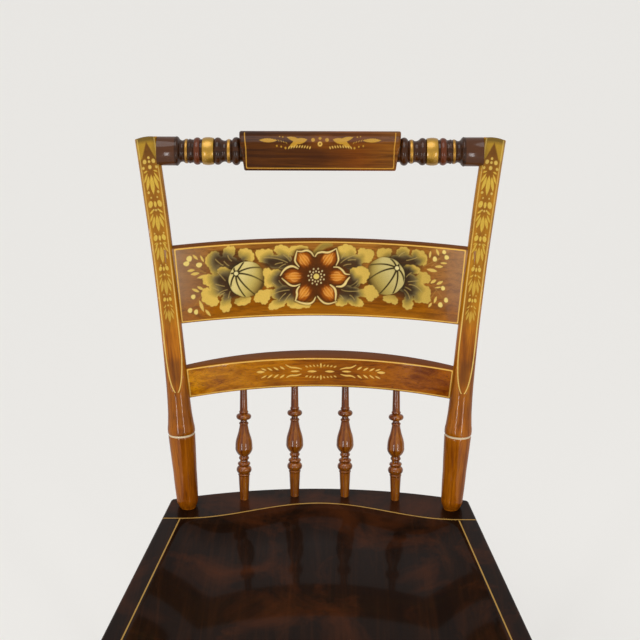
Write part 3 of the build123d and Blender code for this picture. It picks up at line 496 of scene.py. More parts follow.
def paintPillow(out, run, halfLength):  # run is the way up the front face and over the roll
    face = Face(out, run - 23.8)
    gold, pale = pillowStencil["gold"], pillowStencil["pale"]
    line = softLeast((halfLength - 2.4 - 3.1 * unit(run / 24) - out, run - 2.6, 52 - run), 0.6)
    face.fill(np.abs(line) - 0.42, "#dfa23c", 0.5, 0.9 * (run < 44))
    face.fill(face.oval(0, 7.5, 12, 7), "#8a4c0c", 8, 0.5)
    for leaf in pillowStencil["leaves"]:
        face.fill(face.leaf(*leaf), gold, 0.5)
    for k in range(9):
        x, y = 9.5 + k * 2.7, 3.6 - 0.07 * (k - 4) ** 2
        face.fill(face.leaf(x, y, x + 1.5, y - 3.4, 0.7), pale, 0.4)
        face.fill(face.leaf(x + 24, y + 2.0 + 0.5 * k, x + 26.2, y + 4.4 + 0.5 * k, 0.5), gold, 0.4, 0.8)
    for x, y, r in pillowStencil["dots"]:
        face.fill(face.oval(x, y, r, r * 1.15), gold, 0.4)
    for y, rx, ry, colour in ((4.6, 2.4, 2.6, pale), (4.6, 1.0, 1.1, "#7c4a10"), (10.8, 1.6, 1.6, gold)):
        face.fill(face.oval(0, y, rx, ry), colour, 0.5)
    return face.coats


lowerStencil = {  # one half, in mm from the middle of the face
    "gold": "#ecbe5c", "middle": (1, 18.9),
    "lenses": ((4.2, -0.3, 15.2, -0.3, 1.25), (22.6, 0.2, 33.6, 0.2, 1.05), (61, 1.2, 70.5, 1.6, 1.45)),
    "rays": ((2.6, 5.6, 4.8, 8), (6.2, 5.4, 8.8, 7.6), (10, 5.2, 12.8, 7.2), (13.8, 4.8, 17.4, 6.6)),
    "strokes": (((21, 2.6), (27, 4.2), (33, 5), (38.5, 8.2), 0.9),
        ((21.6, -3.2), (27, -4.6), (33, -4.6), (37.6, -6.6), 0.95)),
    "leaves": ((39.5, 3, 45.2, 7, 1), (46, 2.4, 52, 6.4, 0.95), (52.6, 2.2, 58.8, 6.2, 0.9),
        (59, 2.8, 65.4, 5.8, 0.8)),
}


def paintLowerSlat(face):
    slatLines(face, lowerSlat)
    x, y = lowerStencil["middle"]
    half = Face(np.abs(face.u - x), face.v - y, face.coats)
    quarter = Face(half.u, np.abs(half.v + 0.3), face.coats)
    gold = lowerStencil["gold"]
    for leaf in lowerStencil["lenses"]:
        half.fill(half.leaf(*leaf), gold, 0.4)
    for *points, wide in lowerStencil["strokes"]:
        half.fill(half.brush(flowing(points), wide), gold, 0.45)
    quarter.fill(quarter.leaf(0, 3.8, 0, 10.2, 0.95), gold, 0.4)
    for leaf in lowerStencil["rays"]:
        quarter.fill(quarter.leaf(*leaf, 0.85), gold, 0.4, 0.85)
    for leaf in lowerStencil["leaves"]:
        quarter.fill(quarter.leaf(*leaf, -0.2), gold, 0.4)


def placed(name, data, location=(0, 0, 0), aim=None):
    thing = bpy.data.objects.new(name, data)
    thing.location = location
    if aim is not None:
        thing.rotation_euler = Vector(aim).to_track_quat("-Z", "Y").to_euler()
    bpy.context.scene.collection.objects.link(thing)
    return thing


def finishPiece(name, bm, finish, node, sharp=35):
    material, slotName = finish
    bmesh.ops.recalc_face_normals(bm, faces=bm.faces)
    mesh = bpy.data.meshes.new(name)
    bm.to_mesh(mesh)
    bm.free()
    mesh.materials.append(material)
    for face in mesh.polygons:
        face.use_smooth = True
    mesh.set_sharp_from_angle(angle=math.radians(sharp))
    piece = placed(name, mesh)
    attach(piece, "root")
    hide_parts(node)
    return piece


def swell(chord, bulge, t):  # how far an arc stands off its chord, t of the way along
    radius = (chord**2 / 4 + bulge**2) / (2 * abs(bulge))
    sag = math.sqrt(max(radius**2 - (chord * (t - 0.5)) ** 2, 0)) - radius + abs(bulge)
    return math.copysign(sag, bulge)


def turnedProfile(stations, step=0.6):
    # distance and radius along a turned stick; a third number rounds the stretch that ends there
    rows = [stations[0][:2]]
    for (start, radius, *_), (end, nextRadius, *bulge) in zip(stations, stations[1:]):
        bulge = sum(bulge)
        chord = math.hypot(end - start, nextRadius - radius)
        count = max(6, min(28, int(chord / step))) if bulge else 1
        for t in (k / count for k in range(1, count)):
            rows.append((start + (end - start) * t, radius + (nextRadius - radius) * t + swell(chord, bulge, t)))
        rows.append((end, nextRadius))
    return rows


def turnedPiece(name, start, way, stations, finish, node, mirrored=False, around=56):
    # start in mm, way from one end of the stick to the other
    rows = turnedProfile(stations)
    if mirrored:
        rows = [(-at, radius) for at, radius in reversed(rows)] + rows
    rows = [(rows[0][0], 0.0)] + rows + [(rows[-1][0], 0.0)]
    bm = bmesh.new()
    line = [bm.verts.new((radius * mm, 0, at * mm)) for at, radius in rows]
    for ends in zip(line, line[1:]):
        bm.edges.new(ends)
    bmesh.ops.remove_doubles(bm, verts=bm.verts, dist=1e-6)
    bmesh.ops.spin(bm, geom=bm.verts[:] + bm.edges[:], cent=(0, 0, 0), axis=(0, 0, 1), dvec=(0, 0, 0),
                   angle=math.tau, steps=around, use_merge=True, use_duplicate=False)
    bmesh.ops.remove_doubles(bm, verts=bm.verts, dist=1e-5)
    grain = bm.verts.layers.float_vector.new("grain")
    for vert in bm.verts:
        vert[grain] = vert.co
    turn = Vector((0, 0, 1)).rotation_difference(Vector(way)).to_matrix()
    bmesh.ops.rotate(bm, cent=(0, 0, 0), matrix=turn, verts=bm.verts)
    bmesh.ops.translate(bm, vec=Vector(start) * mm, verts=bm.verts)
    return finishPiece(name, bm, finish, node)


def write(mesh, name, kind, field, values):
    mesh.attributes.new(name, kind, "POINT").data.foreach_set(field, values.astype(np.float32).ravel())


def rolledPiece(name, across, along, place, finish, node, sharp=40):
    # a grid rolled round a stick: place(i, j) gives points, grain places and paint, in mm
    bm = bmesh.new()
    bmesh.ops.create_grid(bm, x_segments=across, y_segments=along, size=0.5)
    mesh = bpy.data.meshes.new(name)
    bm.to_mesh(mesh)
    bm.free()
    flat = np.empty(len(mesh.vertices) * 3, np.float32)
    mesh.vertices.foreach_get("co", flat)
    flat = flat.reshape(-1, 3)[:, :2]
    share = (flat - flat.min(0)) / (flat.max(0) - flat.min(0))
    points, grain, paint = place(*np.rint(share * (across, along)).astype(int).T)
    mesh.vertices.foreach_set("co", (points * mm).astype(np.float32).ravel())
    write(mesh, "grain", "FLOAT_VECTOR", "vector", grain * mm)
    if paint is not None:
        write(mesh, "paint", "FLOAT_COLOR", "color", paint)
    bm = bmesh.new()
    bm.from_mesh(mesh)
    bpy.data.meshes.remove(mesh)
    bmesh.ops.remove_doubles(bm, verts=bm.verts, dist=1e-6)
    bmesh.ops.holes_fill(bm, edges=[e for e in bm.edges if e.is_boundary], sides=0)
    return finishPiece(name, bm, finish, node, sharp)


post = {
    "spread": 145, "line": 131, "deck": 440, "rise": 399, "upperRadius": 11.9, "tenonGap": 3, "rake": 8, "splay": 3.4,
    "bendRise": 107, "bendBack": 13.5, "bendOut": 12,
    "turning": ((-2, 8.8), (0, 8.8), (11, 11.9, 1), (42, 12.9, 0.2), (83.4, 14.6, 0.1), (83.6, 14), (85.2, 14),
        (85.4, 14.7), (88, 14.8), (95, 14.1, 0.25), (107, 13), (140, 11.9, -0.15), (204.8, 11.4), (269.5, 11.4),
        (334, 11.9), (399, 11.9)),
    "flatDepth": 6.5, "tipDepth": 12, "tipRise": 132, "fullRise": 187, "frontArc": 56,
}


def postPoint(rise):
    bend = (np.maximum(0, rise - post["bendRise"]) / (post["rise"] - post["bendRise"])) ** 2
    side = post["spread"] + math.tan(math.radians(post["splay"])) * rise + post["bendOut"] * bend
    back = post["line"] + math.tan(math.radians(post["rake"])) * rise + post["bendBack"] * bend
    return side, back


def postFlat(rise):  # how far the shaved face lies in front of the stick's axis
    fall = np.maximum(0, (post["fullRise"] - rise) / (post["fullRise"] - post["tipRise"]))
    return post["flatDepth"] + (post["tipDepth"] - post["flatDepth"]) * fall**2


def postPlaces(flip):
    front, rest = 42, 24
    ends = ((397.8, 0), (398.15, 0.09), (398.5, 0.25), (398.8, 0.55), (399, 1.2), (399, 3))  # the rounded top
    low, painted = np.arange(-2, 130, 1.1), np.arange(130, 397.6, 0.5)  # closer rows where the face is painted
    rises = np.concatenate([low, painted, [rise for rise, _ in ends]])
    shrink = np.zeros(len(rises))
    shrink[-6:] = [less for _, less in ends]
    radii = np.interp(rises, *np.array(turnedProfile(post["turning"])).T) - shrink

    def place(i, j):
        rise, radius = rises[j], radii[j]
        edge = math.radians(post["frontArc"])
        turn = edge + (math.tau - 2 * edge) * unit((i - front) / rest)
        a = np.where(i <= front, radius * math.sin(edge) * (unit(i / front) * 2 - 1), radius * np.sin(turn))
        b = np.where(i <= front, -np.sqrt(np.maximum(radius**2 - a**2, 0)), -radius * np.cos(turn))
        x, y = postPoint(rise)
        slopeX, slopeY = np.subtract(postPoint(rise + 1), postPoint(rise - 1)) / 2
        longX, longY = np.hypot(1, slopeX), np.hypot(1, slopeY)
        px, pz = x + a / longX, rise - a * slopeX / longX - b * slopeY / longY
        py = np.maximum(y + b / longY, postPoint(pz)[1] - postFlat(pz) + shrink[j] * 0.8)
        points = np.stack([flip * px, py, pz + post["deck"]], 1)
        grain = np.stack([a + 40 * flip, b, rise], 1)
        face = Face(np.abs(a), rise)
        paintPost(face, np.sqrt(np.maximum(radius**2 - postFlat(rise) ** 2, 0)))
        face.coats[:, 3] *= i <= front
        return points, grain, face.coats

    return front + rest, len(rises) - 1, place


wideSlat = {
    "rise": 246.2, "height": 82.8, "thick": 12, "endThick": 12, "bow": 24, "lean": 9.5, "setback": -2,
    "round": 2.4, "columns": 560, "rows": 136, "line": (149.6, 0.078),
}
lowerSlat = {
    "rise": 140.5, "height": 34.6, "thick": 22, "endThick": 13, "bow": 29.5, "lean": 5, "setback": -1,
    "round": 2.4, "columns": 460, "rows": 60, "line": (140.8, 0.08),
}


def arcHeight(x, span, bow):
    radius = (span**2 + bow**2) / (2 * bow)
    return np.sqrt(radius**2 - x**2) - (radius - bow)


def slatArcs(look, x):  # how far back the front and the rear of a slat lie, at half its height
    side, back = postPoint(look["rise"])
    span, back = side - post["upperRadius"], back + look["setback"]
    rearBow = look["bow"] + look["thick"] - look["endThick"]
    return back + arcHeight(x, span, look["bow"]), back + look["endThick"] + arcHeight(x, span, rearBow)


def slatPlaces(look, painter):
    rows, corner, behind = look["rows"], 8, 6
    r, height = look["round"], look["height"]
    flat = height - 2 * r
    bend = [(r * math.sin(turn), r * (1 - math.cos(turn))) for turn in np.linspace(0, math.pi / 2, corner + 1)]
    steps = [(r + flat * k / rows, 0, 0) for k in range(rows + 1)]  # v, inset from the face, front or rear
    steps += [(height - r + a, b, 0) for a, b in bend[1:]] + [(height - r + a, b, 1) for a, b in bend[::-1]]
    steps += [(height - r - flat * k / behind, 0, 1) for k in range(1, behind)]
    steps += [(r - a, b, 1) for a, b in bend] + [(r - a, b, 0) for a, b in bend[::-1]]
    table = np.array(steps, float)
    back, lean = postPoint(look["rise"])[1], math.radians(look["lean"])

    def place(i, j):
        v, inset, rear = table[i].T
        w = v - height / 2
        rise = look["rise"] + w * math.cos(lean)
        x = (j / look["columns"] * 2 - 1) * (postPoint(rise)[0] - post["tenonGap"])
        frontArc, rearArc = slatArcs(look, x)
        y = np.where(rear > 0.5, rearArc - inset, frontArc + inset) + w * math.sin(lean)
        face = Face(x, v)
        painter(face)
        face.coats[:, 3] *= (rear < 0.5) & (inset < 0.8 * r)
        onTop = np.where(rear > 0.5, v > height / 2, unit((v - height + 0.9) / 0.4))
        face.lay(0.85 * onTop, "#6c3602")  # painted shade: the top face and the upper half of the back are darkened
        return np.stack([x, y, post["deck"] + rise], 1), np.stack([v, y - back, x], 1), face.coats

    return len(steps) - 1, look["columns"], place


crest = {
    "rise": 385.6, "postGap": 10, "endRadius": 15,
    "turning": ((0, 11), (82.6, 11), (83.6, 13), (90.4, 13, 1.6), (91.4, 11.3), (92.6, 11.9), (96.6, 11.9, 0.7),
        (97.6, 11.2), (102.6, 12.4, -0.7), (103.4, 13.3), (108.8, 13.3, 0.9), (109.8, 12.3), (110.3, 13.6),
        (121.7, 13.6, 0.9), (122.3, 12.3), (124.2, 12.3), (124.8, 13.4), (130, 13.4, 0.8), (131.6, 11.9),
        (133.8, 12.2), (136.2, 12.2, 0.5), (136.6, 12), (140.6, 12, 0.8), (141.4, 11.5), (145.6, 12.4, -0.8),
        (149.6, 15, 1.2)),
}
pillow = {
    "half": 81, "slope": 2.6, "front": 14, "back": 13, "bottom": 16.6, "edge": 7.2, "top": 20.5,
    "crownBack": 4.3, "backEdge": 8.6, "roll": 4.5, "backBulge": 2.25, "columns": 300, "endRound": 1,
}


def arcPoints(start, end, bulge, count):  # a shallow arc that swells to the left of its run by the bulge
    start, run = np.array(start), np.subtract(end, start)
    chord = np.hypot(*run)
    left = np.array((-run[1], run[0])) / chord
    return [start + run * t + left * swell(chord, bulge, t) for t in np.arange(count) / count]


def pillowPlaces():
    p = pillow
    low, edge = (-p["front"], -p["bottom"]), (-p["front"], p["edge"])
    crown, backEdge, backLow = (p["crownBack"], p["top"]), (p["back"], p["backEdge"]), (p["back"], -p["backEdge"])
    loop = [*np.linspace(low, edge, 53)[:-1], *arcPoints(edge, crown, p["roll"], 36),
            *arcPoints(crown, backEdge, p["backBulge"], 6), *np.linspace(backEdge, backLow, 5)[:-1],
            *arcPoints(backLow, low, p["backBulge"], 14)]
    loop = np.array(loop + loop[:1])
    middle = (loop.min(0) + loop.max(0)) / 2
    lengths = np.concatenate([[0], np.cumsum(np.hypot(*np.diff(loop, axis=0).T))])
    back = postPoint(crest["rise"])[1]

    def place(i, j):
        ends = np.minimum(j, p["columns"] - j)
        pull = np.interp(ends, (0, 1, 2, 3), (1.0, 0.35, 0.08, 0.0)) * p["endRound"]
        half = p["half"] + p["slope"] * ((loop[i, 1] + p["bottom"]) / (p["top"] + p["bottom"]) * 2 - 1)
        x = (j / p["columns"] * 2 - 1) * half
        y, z = (loop[i] - np.clip(loop[i] - middle, -1, 1) * pull[:, None]).T
        points = np.stack([x, back + y, post["deck"] + crest["rise"] + z], 1)
        return points, np.stack([z + 60, y, x], 1), paintPillow(np.abs(x), lengths[i], half)

    return len(loop) - 1, p["columns"], place


seat = {
    "top": 440, "thick": 38, "frontY": -217, "rearY": 172.5, "frontWidth": 436, "rearWidth": 330.4, "frontBow": 12,
    "rearBow": 25.5, "frontCorner": 40, "rearCorner": 3.5, "topRound": 3, "bottomRound": 8, "frontRoll": 14,
    "saddleDepth": 11, "saddleRear": 150, "saddleFront": 186, "saddleFall": 62, "saddleBlend": 7, "saddleEdge": 5,
    "deckMiddle": 33.8, "deckEnds": 42, "frontMargin": 54, "centre": (0, -30), "around": 448, "rings": 84,
    "stripeInset": 20, "stripeCorner": 46, "stripeSides": ((-147, 205), (165.2, 218)),
}


def roundedCorner(loop, corner, radius, count):  # a fillet between the runs before and after a corner of the plan
    before, at, after = (np.array(p) for p in (loop[corner - 1], loop[corner], loop[(corner + 1) % len(loop)]))
    inWay, outWay = (before - at) / np.hypot(*(before - at)), (after - at) / np.hypot(*(after - at))
    half = math.acos(np.clip(inWay @ outWay, -1, 1)) / 2
    centre = at + (inWay + outWay) / np.hypot(*(inWay + outWay)) * radius / math.sin(half)
    first, last = (at + way * radius / math.tan(half) - centre for way in (inWay, outWay))
    start, end = math.atan2(*first[::-1]), math.atan2(*last[::-1])
    sweep = (end - start + math.pi) % math.tau - math.pi
    turns = start + sweep * np.arange(count + 1) / count
    return list(centre + radius * np.stack([np.cos(turns), np.sin(turns)], 1))


def seatOutline():
    rear, front = seat["rearWidth"] / 2, seat["frontWidth"] / 2
    rearY, frontY = seat["rearY"] - seat["rearBow"], seat["frontY"] + seat["frontBow"]
    loop = [(x, rearY + arcHeight(x, rear, seat["rearBow"])) for x in np.linspace(-rear, rear, 41)]
    loop += [(x, frontY - arcHeight(x, front, seat["frontBow"])) for x in np.linspace(front, -front, 41)]
    out = []
    for k, point in enumerate(loop):
        if k in (0, 40):
            out += roundedCorner(loop, k, seat["rearCorner"], 8)
        elif k in (41, 81):
            out += roundedCorner(loop, k, seat["frontCorner"], 16)
        elif not (41 < k <= 44 or 78 <= k < 81):  # the big corners swallow their neighbours
            out.append(np.array(point))
    out = np.array(out + out[:1])
    lengths = np.concatenate([[0], np.cumsum(np.hypot(*np.diff(out, axis=0).T))])
    even = np.linspace(0, lengths[-1], seat["around"] + 1)
    return np.stack([np.interp(even, lengths, out[:, n]) for n in (0, 1)], 1)


def saddleRearY(x):
    middle, ends = seat["rearY"] - seat["deckMiddle"], seat["rearY"] - seat["rearBow"] - seat["deckEnds"]
    return ends + (middle - ends) * (1 + np.cos(math.pi * np.clip(x / seat["saddleRear"], -1, 1))) / 2


def saddleDepth(x, y):
    rearY, frontY = seat["rearY"] - seat["rearBow"] - seat["deckEnds"], seat["frontY"] + seat["frontMargin"]
    t = (rearY - y) / (rearY - frontY - 10)
    side = seat["saddleRear"] + (seat["saddleFront"] - seat["saddleRear"]) * t - np.abs(x)
    front = y - frontY - 10 * (x / seat["saddleFront"]) ** 2
    inset = softLeast(((saddleRearY(x) - y) * 0.95, side, front), seat["saddleBlend"])
    fall = 1 - (1 - unit(inset / seat["saddleFall"])) ** 2.2
    return seat["saddleDepth"] * fall * unit(inset / seat["saddleEdge"]) ** 0.5


def seatPlaces():
    outline = seatOutline()
    way = np.roll(outline[:-1], -1, 0) - np.roll(outline[:-1], 1, 0)
    normal = np.stack([-way[:, 1], way[:, 0]], 1) / np.hypot(*way.T)[:, None]
    normal = np.vstack([normal, normal[:1]])  # clockwise from above, so the left of the run points outwards
    nearFront = unit((seat["frontY"] + 34 - outline[:, 1]) / 18)
    roll = seat["topRound"] + (seat["frontRoll"] - seat["topRound"]) * nearFront**1.5
    rings, low = seat["rings"], seat["bottomRound"]
    shares = [np.arange(10) / 10, np.arange(7) / 6, np.arange(10) / 9, np.arange(1, rings + 1) / rings]
    kinds, shares = np.repeat(range(4), [len(part) for part in shares]), np.concatenate(shares)
    centre, bottom, top = np.array(seat["centre"]), seat["top"] - seat["thick"], seat["top"]

    def place(i, j):
        share, r = shares[j], roll[i]
        under, lower, upper, deck = (kinds[j] == n for n in range(4))
        rise, fall = np.sin(share * math.pi / 2), 1 - np.cos(share * math.pi / 2)
        pull = np.select([under, lower, upper], [low, low * (1 - rise), r * fall], r)
        scale = np.select([under, deck], [share + 0.002, 1 - share * 0.998], 1.0)
        xy = centre + (outline[i] - normal[i] * pull[:, None] - centre) * scale[:, None]
        levels = [bottom, bottom + low * fall, top - r + r * rise]
        z = np.select([under, lower, upper], levels, top - saddleDepth(*xy.T))
        return np.column_stack([xy, z]), np.column_stack([xy[:, 0], z, xy[:, 1]]), None

    return seat["around"], len(shares) - 1, place


def addStripePlaces(piece):
    # how far each point is from the two painted lines, in mm, so the shader can draw them sharp
    co = np.empty(len(piece.data.vertices) * 3, np.float32)
    piece.data.vertices.foreach_get("co", co)
    x, y, z = (co.reshape(-1, 3) / mm).T
    rearLine, corner, sides = y - saddleRearY(x), seat["stripeCorner"], seat["stripeSides"]
    side = (np.interp(-y, *sides) - np.abs(x)) * 0.989
    front = y - seat["frontY"] - seat["frontBow"] * (x / sides[1][1]) ** 2
    turn = np.hypot(np.maximum(corner - side, 0), np.maximum(corner - front, 0))
    rimLine = np.where(turn > 0, corner - turn, np.minimum(side, front)) - seat["stripeInset"]
    places = np.stack([rearLine, np.where(rearLine > 0, -9, rimLine), z - seat["top"]], 1)
    write(piece.data, "stripes", "FLOAT_VECTOR", "vector", places)


def seatFinish():
    m = Nodes(bpy.data.materials.new("darkPaintedSeat"))
    grain, place = m.attribute("grain"), m.add("ShaderNodeTexCoord").outputs["Object"]
    figure = m.noise(m.stretch(grain, 0.06), 70, 6, 0.65, 1.0)
    clouds = m.noise(place, 11, 4, 0.65, 0.6)
    wood = m.ramp(figure, ((0.25, "#0e0502"), (0.50, "#180a03"), (0.75, "#2c1506")))
    wood = m.mix(m.ramp(clouds, ((0.48, 0.0), (0.72, 0.75))), wood, tintAlpha("#48220a"))
    stripes = m.parts(m.attribute("stripes"))
    wobble = m.math("MULTIPLY_ADD", m.noise(place, 60, 2), 0.5, 0.35)
    onTop = m.span(stripes[2], -13, -12)
    for n in (0, 1):
        line = m.span(m.math("SUBTRACT", m.math("ABSOLUTE", stripes[n]), wobble), 0.25, -0.05)
        wood = m.mix(m.math("MULTIPLY", m.math("MULTIPLY", line, onTop), 0.85), wood, tintAlpha("#b8904a"))
    return m.finish({
        "Base Color": wood, "Roughness": m.span(clouds, 0, 1, 0.28, 0.46), "Specular IOR Level": 0.03,
        "Normal": m.bump(m.noise(m.stretch(grain, 0.2), 120, 4), 0.2, 0.0005),
        "Coat Weight": 0.12, "Coat Roughness": 0.06,
    })


spindle = {
    "places": (-84, -28, 28, 84), "rowBow": 26,
    "turning": ((-3, 4.7), (1, 4.7), (25.2, 6.1, 0.12), (25.6, 5.5), (26, 6.3), (27.8, 6.3, 0.4), (28.2, 5.9),
        (36.4, 6.1, 2.4), (36.9, 5.6), (37.4, 6.2), (40.6, 6.2, 0.8), (41.4, 4.4), (43.2, 4.4), (43.7, 4.9),
        (46.9, 4.9, 0.8), (47.8, 4.8), (57.7, 9.45, 1.6), (70, 7.3, 0.6), (82.2, 4.5, -0.3), (82.7, 4.9),
        (84.7, 4.9, 0.3), (85.4, 3.7), (87.4, 3.7), (88, 5.6), (94.2, 5.6, 2.7), (94.9, 4.4), (97.5, 4.5, 0.7),
        (98.3, 4.3)),
    "topRadius": 3.8,
}
legs = {
    "under": 402, "frontTop": (165, -150), "frontFoot": (203, -190), "rearTop": (128, 98), "rearFoot": (160, 203),
    "frontTurning": ((0, 10), (22, 12.8, 0.8), (30, 9.6, -0.6), (31, 11.6), (38, 11.6, 2), (39, 10.2), (44, 10.2),
        (134, 15.8, 0.6), (180, 14, 0.4), (181, 15.2), (190, 15.2, 1.8), (191, 13.6), (196, 13.6), (197, 15.6),
        (262, 15.6, 0.6)),
    "frontUpper": ((140, 13.4), (135, 13.4), (134, 15.4), (124, 15.4, 2), (123, 13), (108, 13.6, -0.8),
        (66, 17.4, 1)),
    "rearTurning": ((0, 10.5), (70, 13.6, 0.3), (252, 15.6, 0.8), (252.8, 14.8), (256.2, 14.8), (257, 15.6)),
    "neck": 11,
}
stretchers = {
    "upperFront": 240, "lowerFront": 118, "upperSide": 212, "lowerSide": 84, "rear": 152, "mouth": 6.5, "belly": 10.5,
    "bellyBulge": 1.2,
    "fancy": ((0, 17), (17, 12, 3), (18.5, 10.6), (20.5, 13.2), (26.5, 13.2, 1.5), (27.5, 10.8), (31, 9.6, -0.6),
        (32, 11.4), (36, 11.4, 0.8), (37, 8.6), (92, 12.6, 0.6), (112, 10, 0.3), (113, 12), (119, 12, 1.4),
        (120, 9.2)),
}


def makeSpindles(finish):
    lean, half = math.radians(lowerSlat["lean"]), lowerSlat["height"] / 2
    for number, x in enumerate(spindle["places"], start=1):
        foot = np.array((x, post["line"] + arcHeight(x, post["spread"], spindle["rowBow"]), post["deck"]))
        y = sum(slatArcs(lowerSlat, x)) / 2
        top = np.array((x, y - half * math.sin(lean), post["deck"] + lowerSlat["rise"] - half * math.cos(lean)))
        length = np.linalg.norm(top - foot)
        way = (top - foot) / length
        stations = [(at / way[2], *rest) for at, *rest in spindle["turning"]]
        stations += [(length + past, spindle["topRadius"]) for past in (-1, 3)]
        turnedPiece(f"spindleTurning{number}", foot, way, stations, finish, f"spindle_{number}")


def legAxis(end, side):
    (topX, topY), (footX, footY) = legs[end + "Top"], legs[end + "Foot"]
    lower = np.array((side * footX, footY, 0.0))
    run = np.array((side * topX, topY, legs["under"])) - lower
    return lower, run / np.linalg.norm(run), np.linalg.norm(run)


def legStations(end, length):
    low = legs[end + "Turning"]
    high = [(length - depth, *rest) for depth, *rest in legs["frontUpper"]] if end == "front" else []
    return [(-12, low[0][1]), *low, *high, (length - 4, legs["neck"], 0.5), (length + 3, legs["neck"])]


def makeLegs(finish):
    for end in ("front", "rear"):
        for side, word in ((-1, "left"), (1, "right")):
            lower, way, length = legAxis(end, side)
            name = f"{end}{word.title()}LegTurning"
            piece = turnedPiece(name, lower, way, legStations(end, length), finish, f"{end}_{word}_leg")
            bm = bmesh.new()
            bm.from_mesh(piece.data)
            whole = bm.verts[:] + bm.edges[:] + bm.faces[:]
            cut = bmesh.ops.bisect_plane(bm, geom=whole, dist=1e-6, plane_co=(0, 0, 0), plane_no=(0, 0, 1),
                                         clear_inner=True)  # the foot is sawn level with the floor
            rim = [e for e in cut["geom_cut"] if isinstance(e, bmesh.types.BMEdge)]
            for edge in rim:
                edge.smooth = False
            bmesh.ops.holes_fill(bm, edges=rim)
            bm.to_mesh(piece.data)
            bm.free()


def pointOnLeg(end, side, height):  # and the leg's radius there
    lower, way, length = legAxis(end, side)
    at = height / way[2]
    return lower + way * at, np.interp(at, *np.array(turnedProfile(legStations(end, length))).T)


def makeStretchers(finish):
    levels = ("upper", "lower")
    runs = [(f"{level}Front", f"{level}_front_stretcher", ("front", -1), ("front", 1)) for level in levels]
    runs += [("rear", "rear_stretcher", ("rear", -1), ("rear", 1))]
    for side, word in ((-1, "left"), (1, "right")):
        runs += [(f"{level}Side", f"{level}_{word}_stretcher", ("front", side), ("rear", side)) for level in levels]
    for height, node, first, last in runs:
        (start, startRadius), (end, endRadius) = (pointOnLeg(*leg, stretchers[height]) for leg in (first, last))
        way = (end - start) / np.linalg.norm(end - start)
        start, end = start + way * startRadius, end - way * endRadius
        half = np.linalg.norm(end - start) / 2
        mouth = stretchers["mouth"]
        if height == "upperFront":
            body = [*stretchers["fancy"], (half - 3, mouth, 0.8)]
        else:
            body = [(0, stretchers["belly"]), (half - 3, mouth, stretchers["bellyBulge"])]
        name = "".join(word.title() if n else word for n, word in enumerate(node.split("_"))) + "Turning"
        turnedPiece(name, (start + end) / 2, way, body + [(half + 4, mouth)], finish, node, mirrored=True)


amberSlot, darkSlot = "amber_varnished_wood", "dark_varnished_wood"
painted = varnishedWood("amberVarnishedWood", amber), amberSlot
faceBrown = varnishedWood("wideSlatWood", brownFace), amberSlot
postFinish = varnishedWood("postWood", postWood), amberSlot
sticks = varnishedWood("redBrownWood", redBrown), "red_brown_varnished_wood"
crestFinish = varnishedWood("darkCrestWood", darkCrest), darkSlot
pillowFinish = varnishedWood("darkPillowWood", pillowWood), darkSlot

for flip, word in ((-1, "left"), (1, "right")):
    rolledPiece(f"{word}BackPost", *postPlaces(flip), postFinish, f"{word}_back_post")
print("posts made")
rolledPiece("wideStenciledSlat", *slatPlaces(wideSlat, paintWideSlat), faceBrown, "wide_slat")
rolledPiece("lowerStenciledSlat", *slatPlaces(lowerSlat, paintLowerSlat), painted, "lower_slat")
print("slats made")
crestSide, crestBack = postPoint(crest["rise"])
crestStations = [*crest["turning"], (crestSide - crest["postGap"], crest["endRadius"])]
crestMiddle = (0, crestBack, post["deck"] + crest["rise"])
turnedPiece("crestTurning", crestMiddle, (1, 0, 0), crestStations, crestFinish, "crest_rail", mirrored=True)
rolledPiece("crestPillow", *pillowPlaces(), pillowFinish, "crest_rail", 30)
print("crest made")
addStripePlaces(rolledPiece("seatPlank", *seatPlaces(), (seatFinish(), "dark_painted_seat"), "seat", 50))
makeSpindles(sticks)
makeLegs(sticks)
makeStretchers(sticks)
print("seat and sticks made")


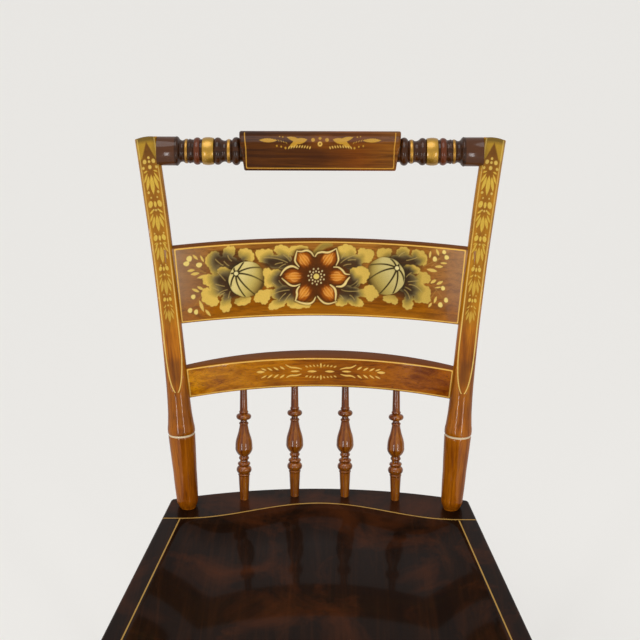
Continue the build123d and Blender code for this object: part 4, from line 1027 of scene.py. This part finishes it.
studio = {
    "camera": (0.0136, -1.2082, 1.2349), "look": (-0.00899, 0.91978, -0.39234), "lens": 78.75,
    "floorTone": "#f0eeea", "worldLevel": 0.36, "backdropLevel": 0.8,
    "sunLevel": 1.85, "sunAngle": 50, "sunTilt": (14, 8),
    "lamps": ((-0.98, -1.85, 0.50), (1.02, -1.80, 0.50)), "lampAim": (0.0, 0.12, 0.50),
    "lampSize": (0.20, 0.95), "lampPower": 10,
}


def makeStage():
    bm = bmesh.new()
    bmesh.ops.create_grid(bm, x_segments=2, y_segments=2, size=40)
    mesh = bpy.data.meshes.new("floor")
    bm.to_mesh(mesh)
    bm.free()
    m = Nodes(bpy.data.materials.new("paleFloor"))
    pale = {"Base Color": tintAlpha(studio["floorTone"]), "Roughness": 0.8, "Specular IOR Level": 0.1}
    mesh.materials.append(m.finish(pale))
    placed("floor", mesh)


def makeWorld():
    m = Nodes(bpy.data.worlds.new("studio"), "Background")
    path = m.add("ShaderNodeLightPath").outputs
    seen = path["Is Camera Ray"]
    for ray in ("Is Glossy Ray", "Is Transmission Ray"):
        seen = m.math("MAXIMUM", seen, path[ray])
    level = m.span(seen, 0, 1, studio["worldLevel"], studio["backdropLevel"])
    # what is seen is pale, what lights the chair stays plain
    bpy.context.scene.world = m.finish({"Color": (1, 1, 1, 1), "Strength": level})


def makeLamps():
    sun = bpy.data.lights.new("sky", "SUN")
    sun.energy, sun.angle = studio["sunLevel"], math.radians(studio["sunAngle"])
    tiltBack, tiltSide = studio["sunTilt"]
    placed("sky", sun).rotation_euler = (math.radians(tiltBack), math.radians(-tiltSide), 0)
    for number, place in enumerate(studio["lamps"]):
        lamp = bpy.data.lights.new(f"softbox{number}", "AREA")
        lamp.shape, lamp.energy = "RECTANGLE", studio["lampPower"]
        lamp.size, lamp.size_y = studio["lampSize"]
        placed(f"softbox{number}", lamp, place, Vector(studio["lampAim"]) - Vector(place))


def makeCamera():
    data = bpy.data.cameras.new("camera")
    data.lens, data.sensor_width = studio["lens"], 36
    bpy.context.scene.camera = placed("camera", data, studio["camera"], studio["look"])


makeStage()
makeWorld()
makeLamps()
makeCamera()
bpy.context.scene.view_settings.view_transform = "Standard"
print("studio made")
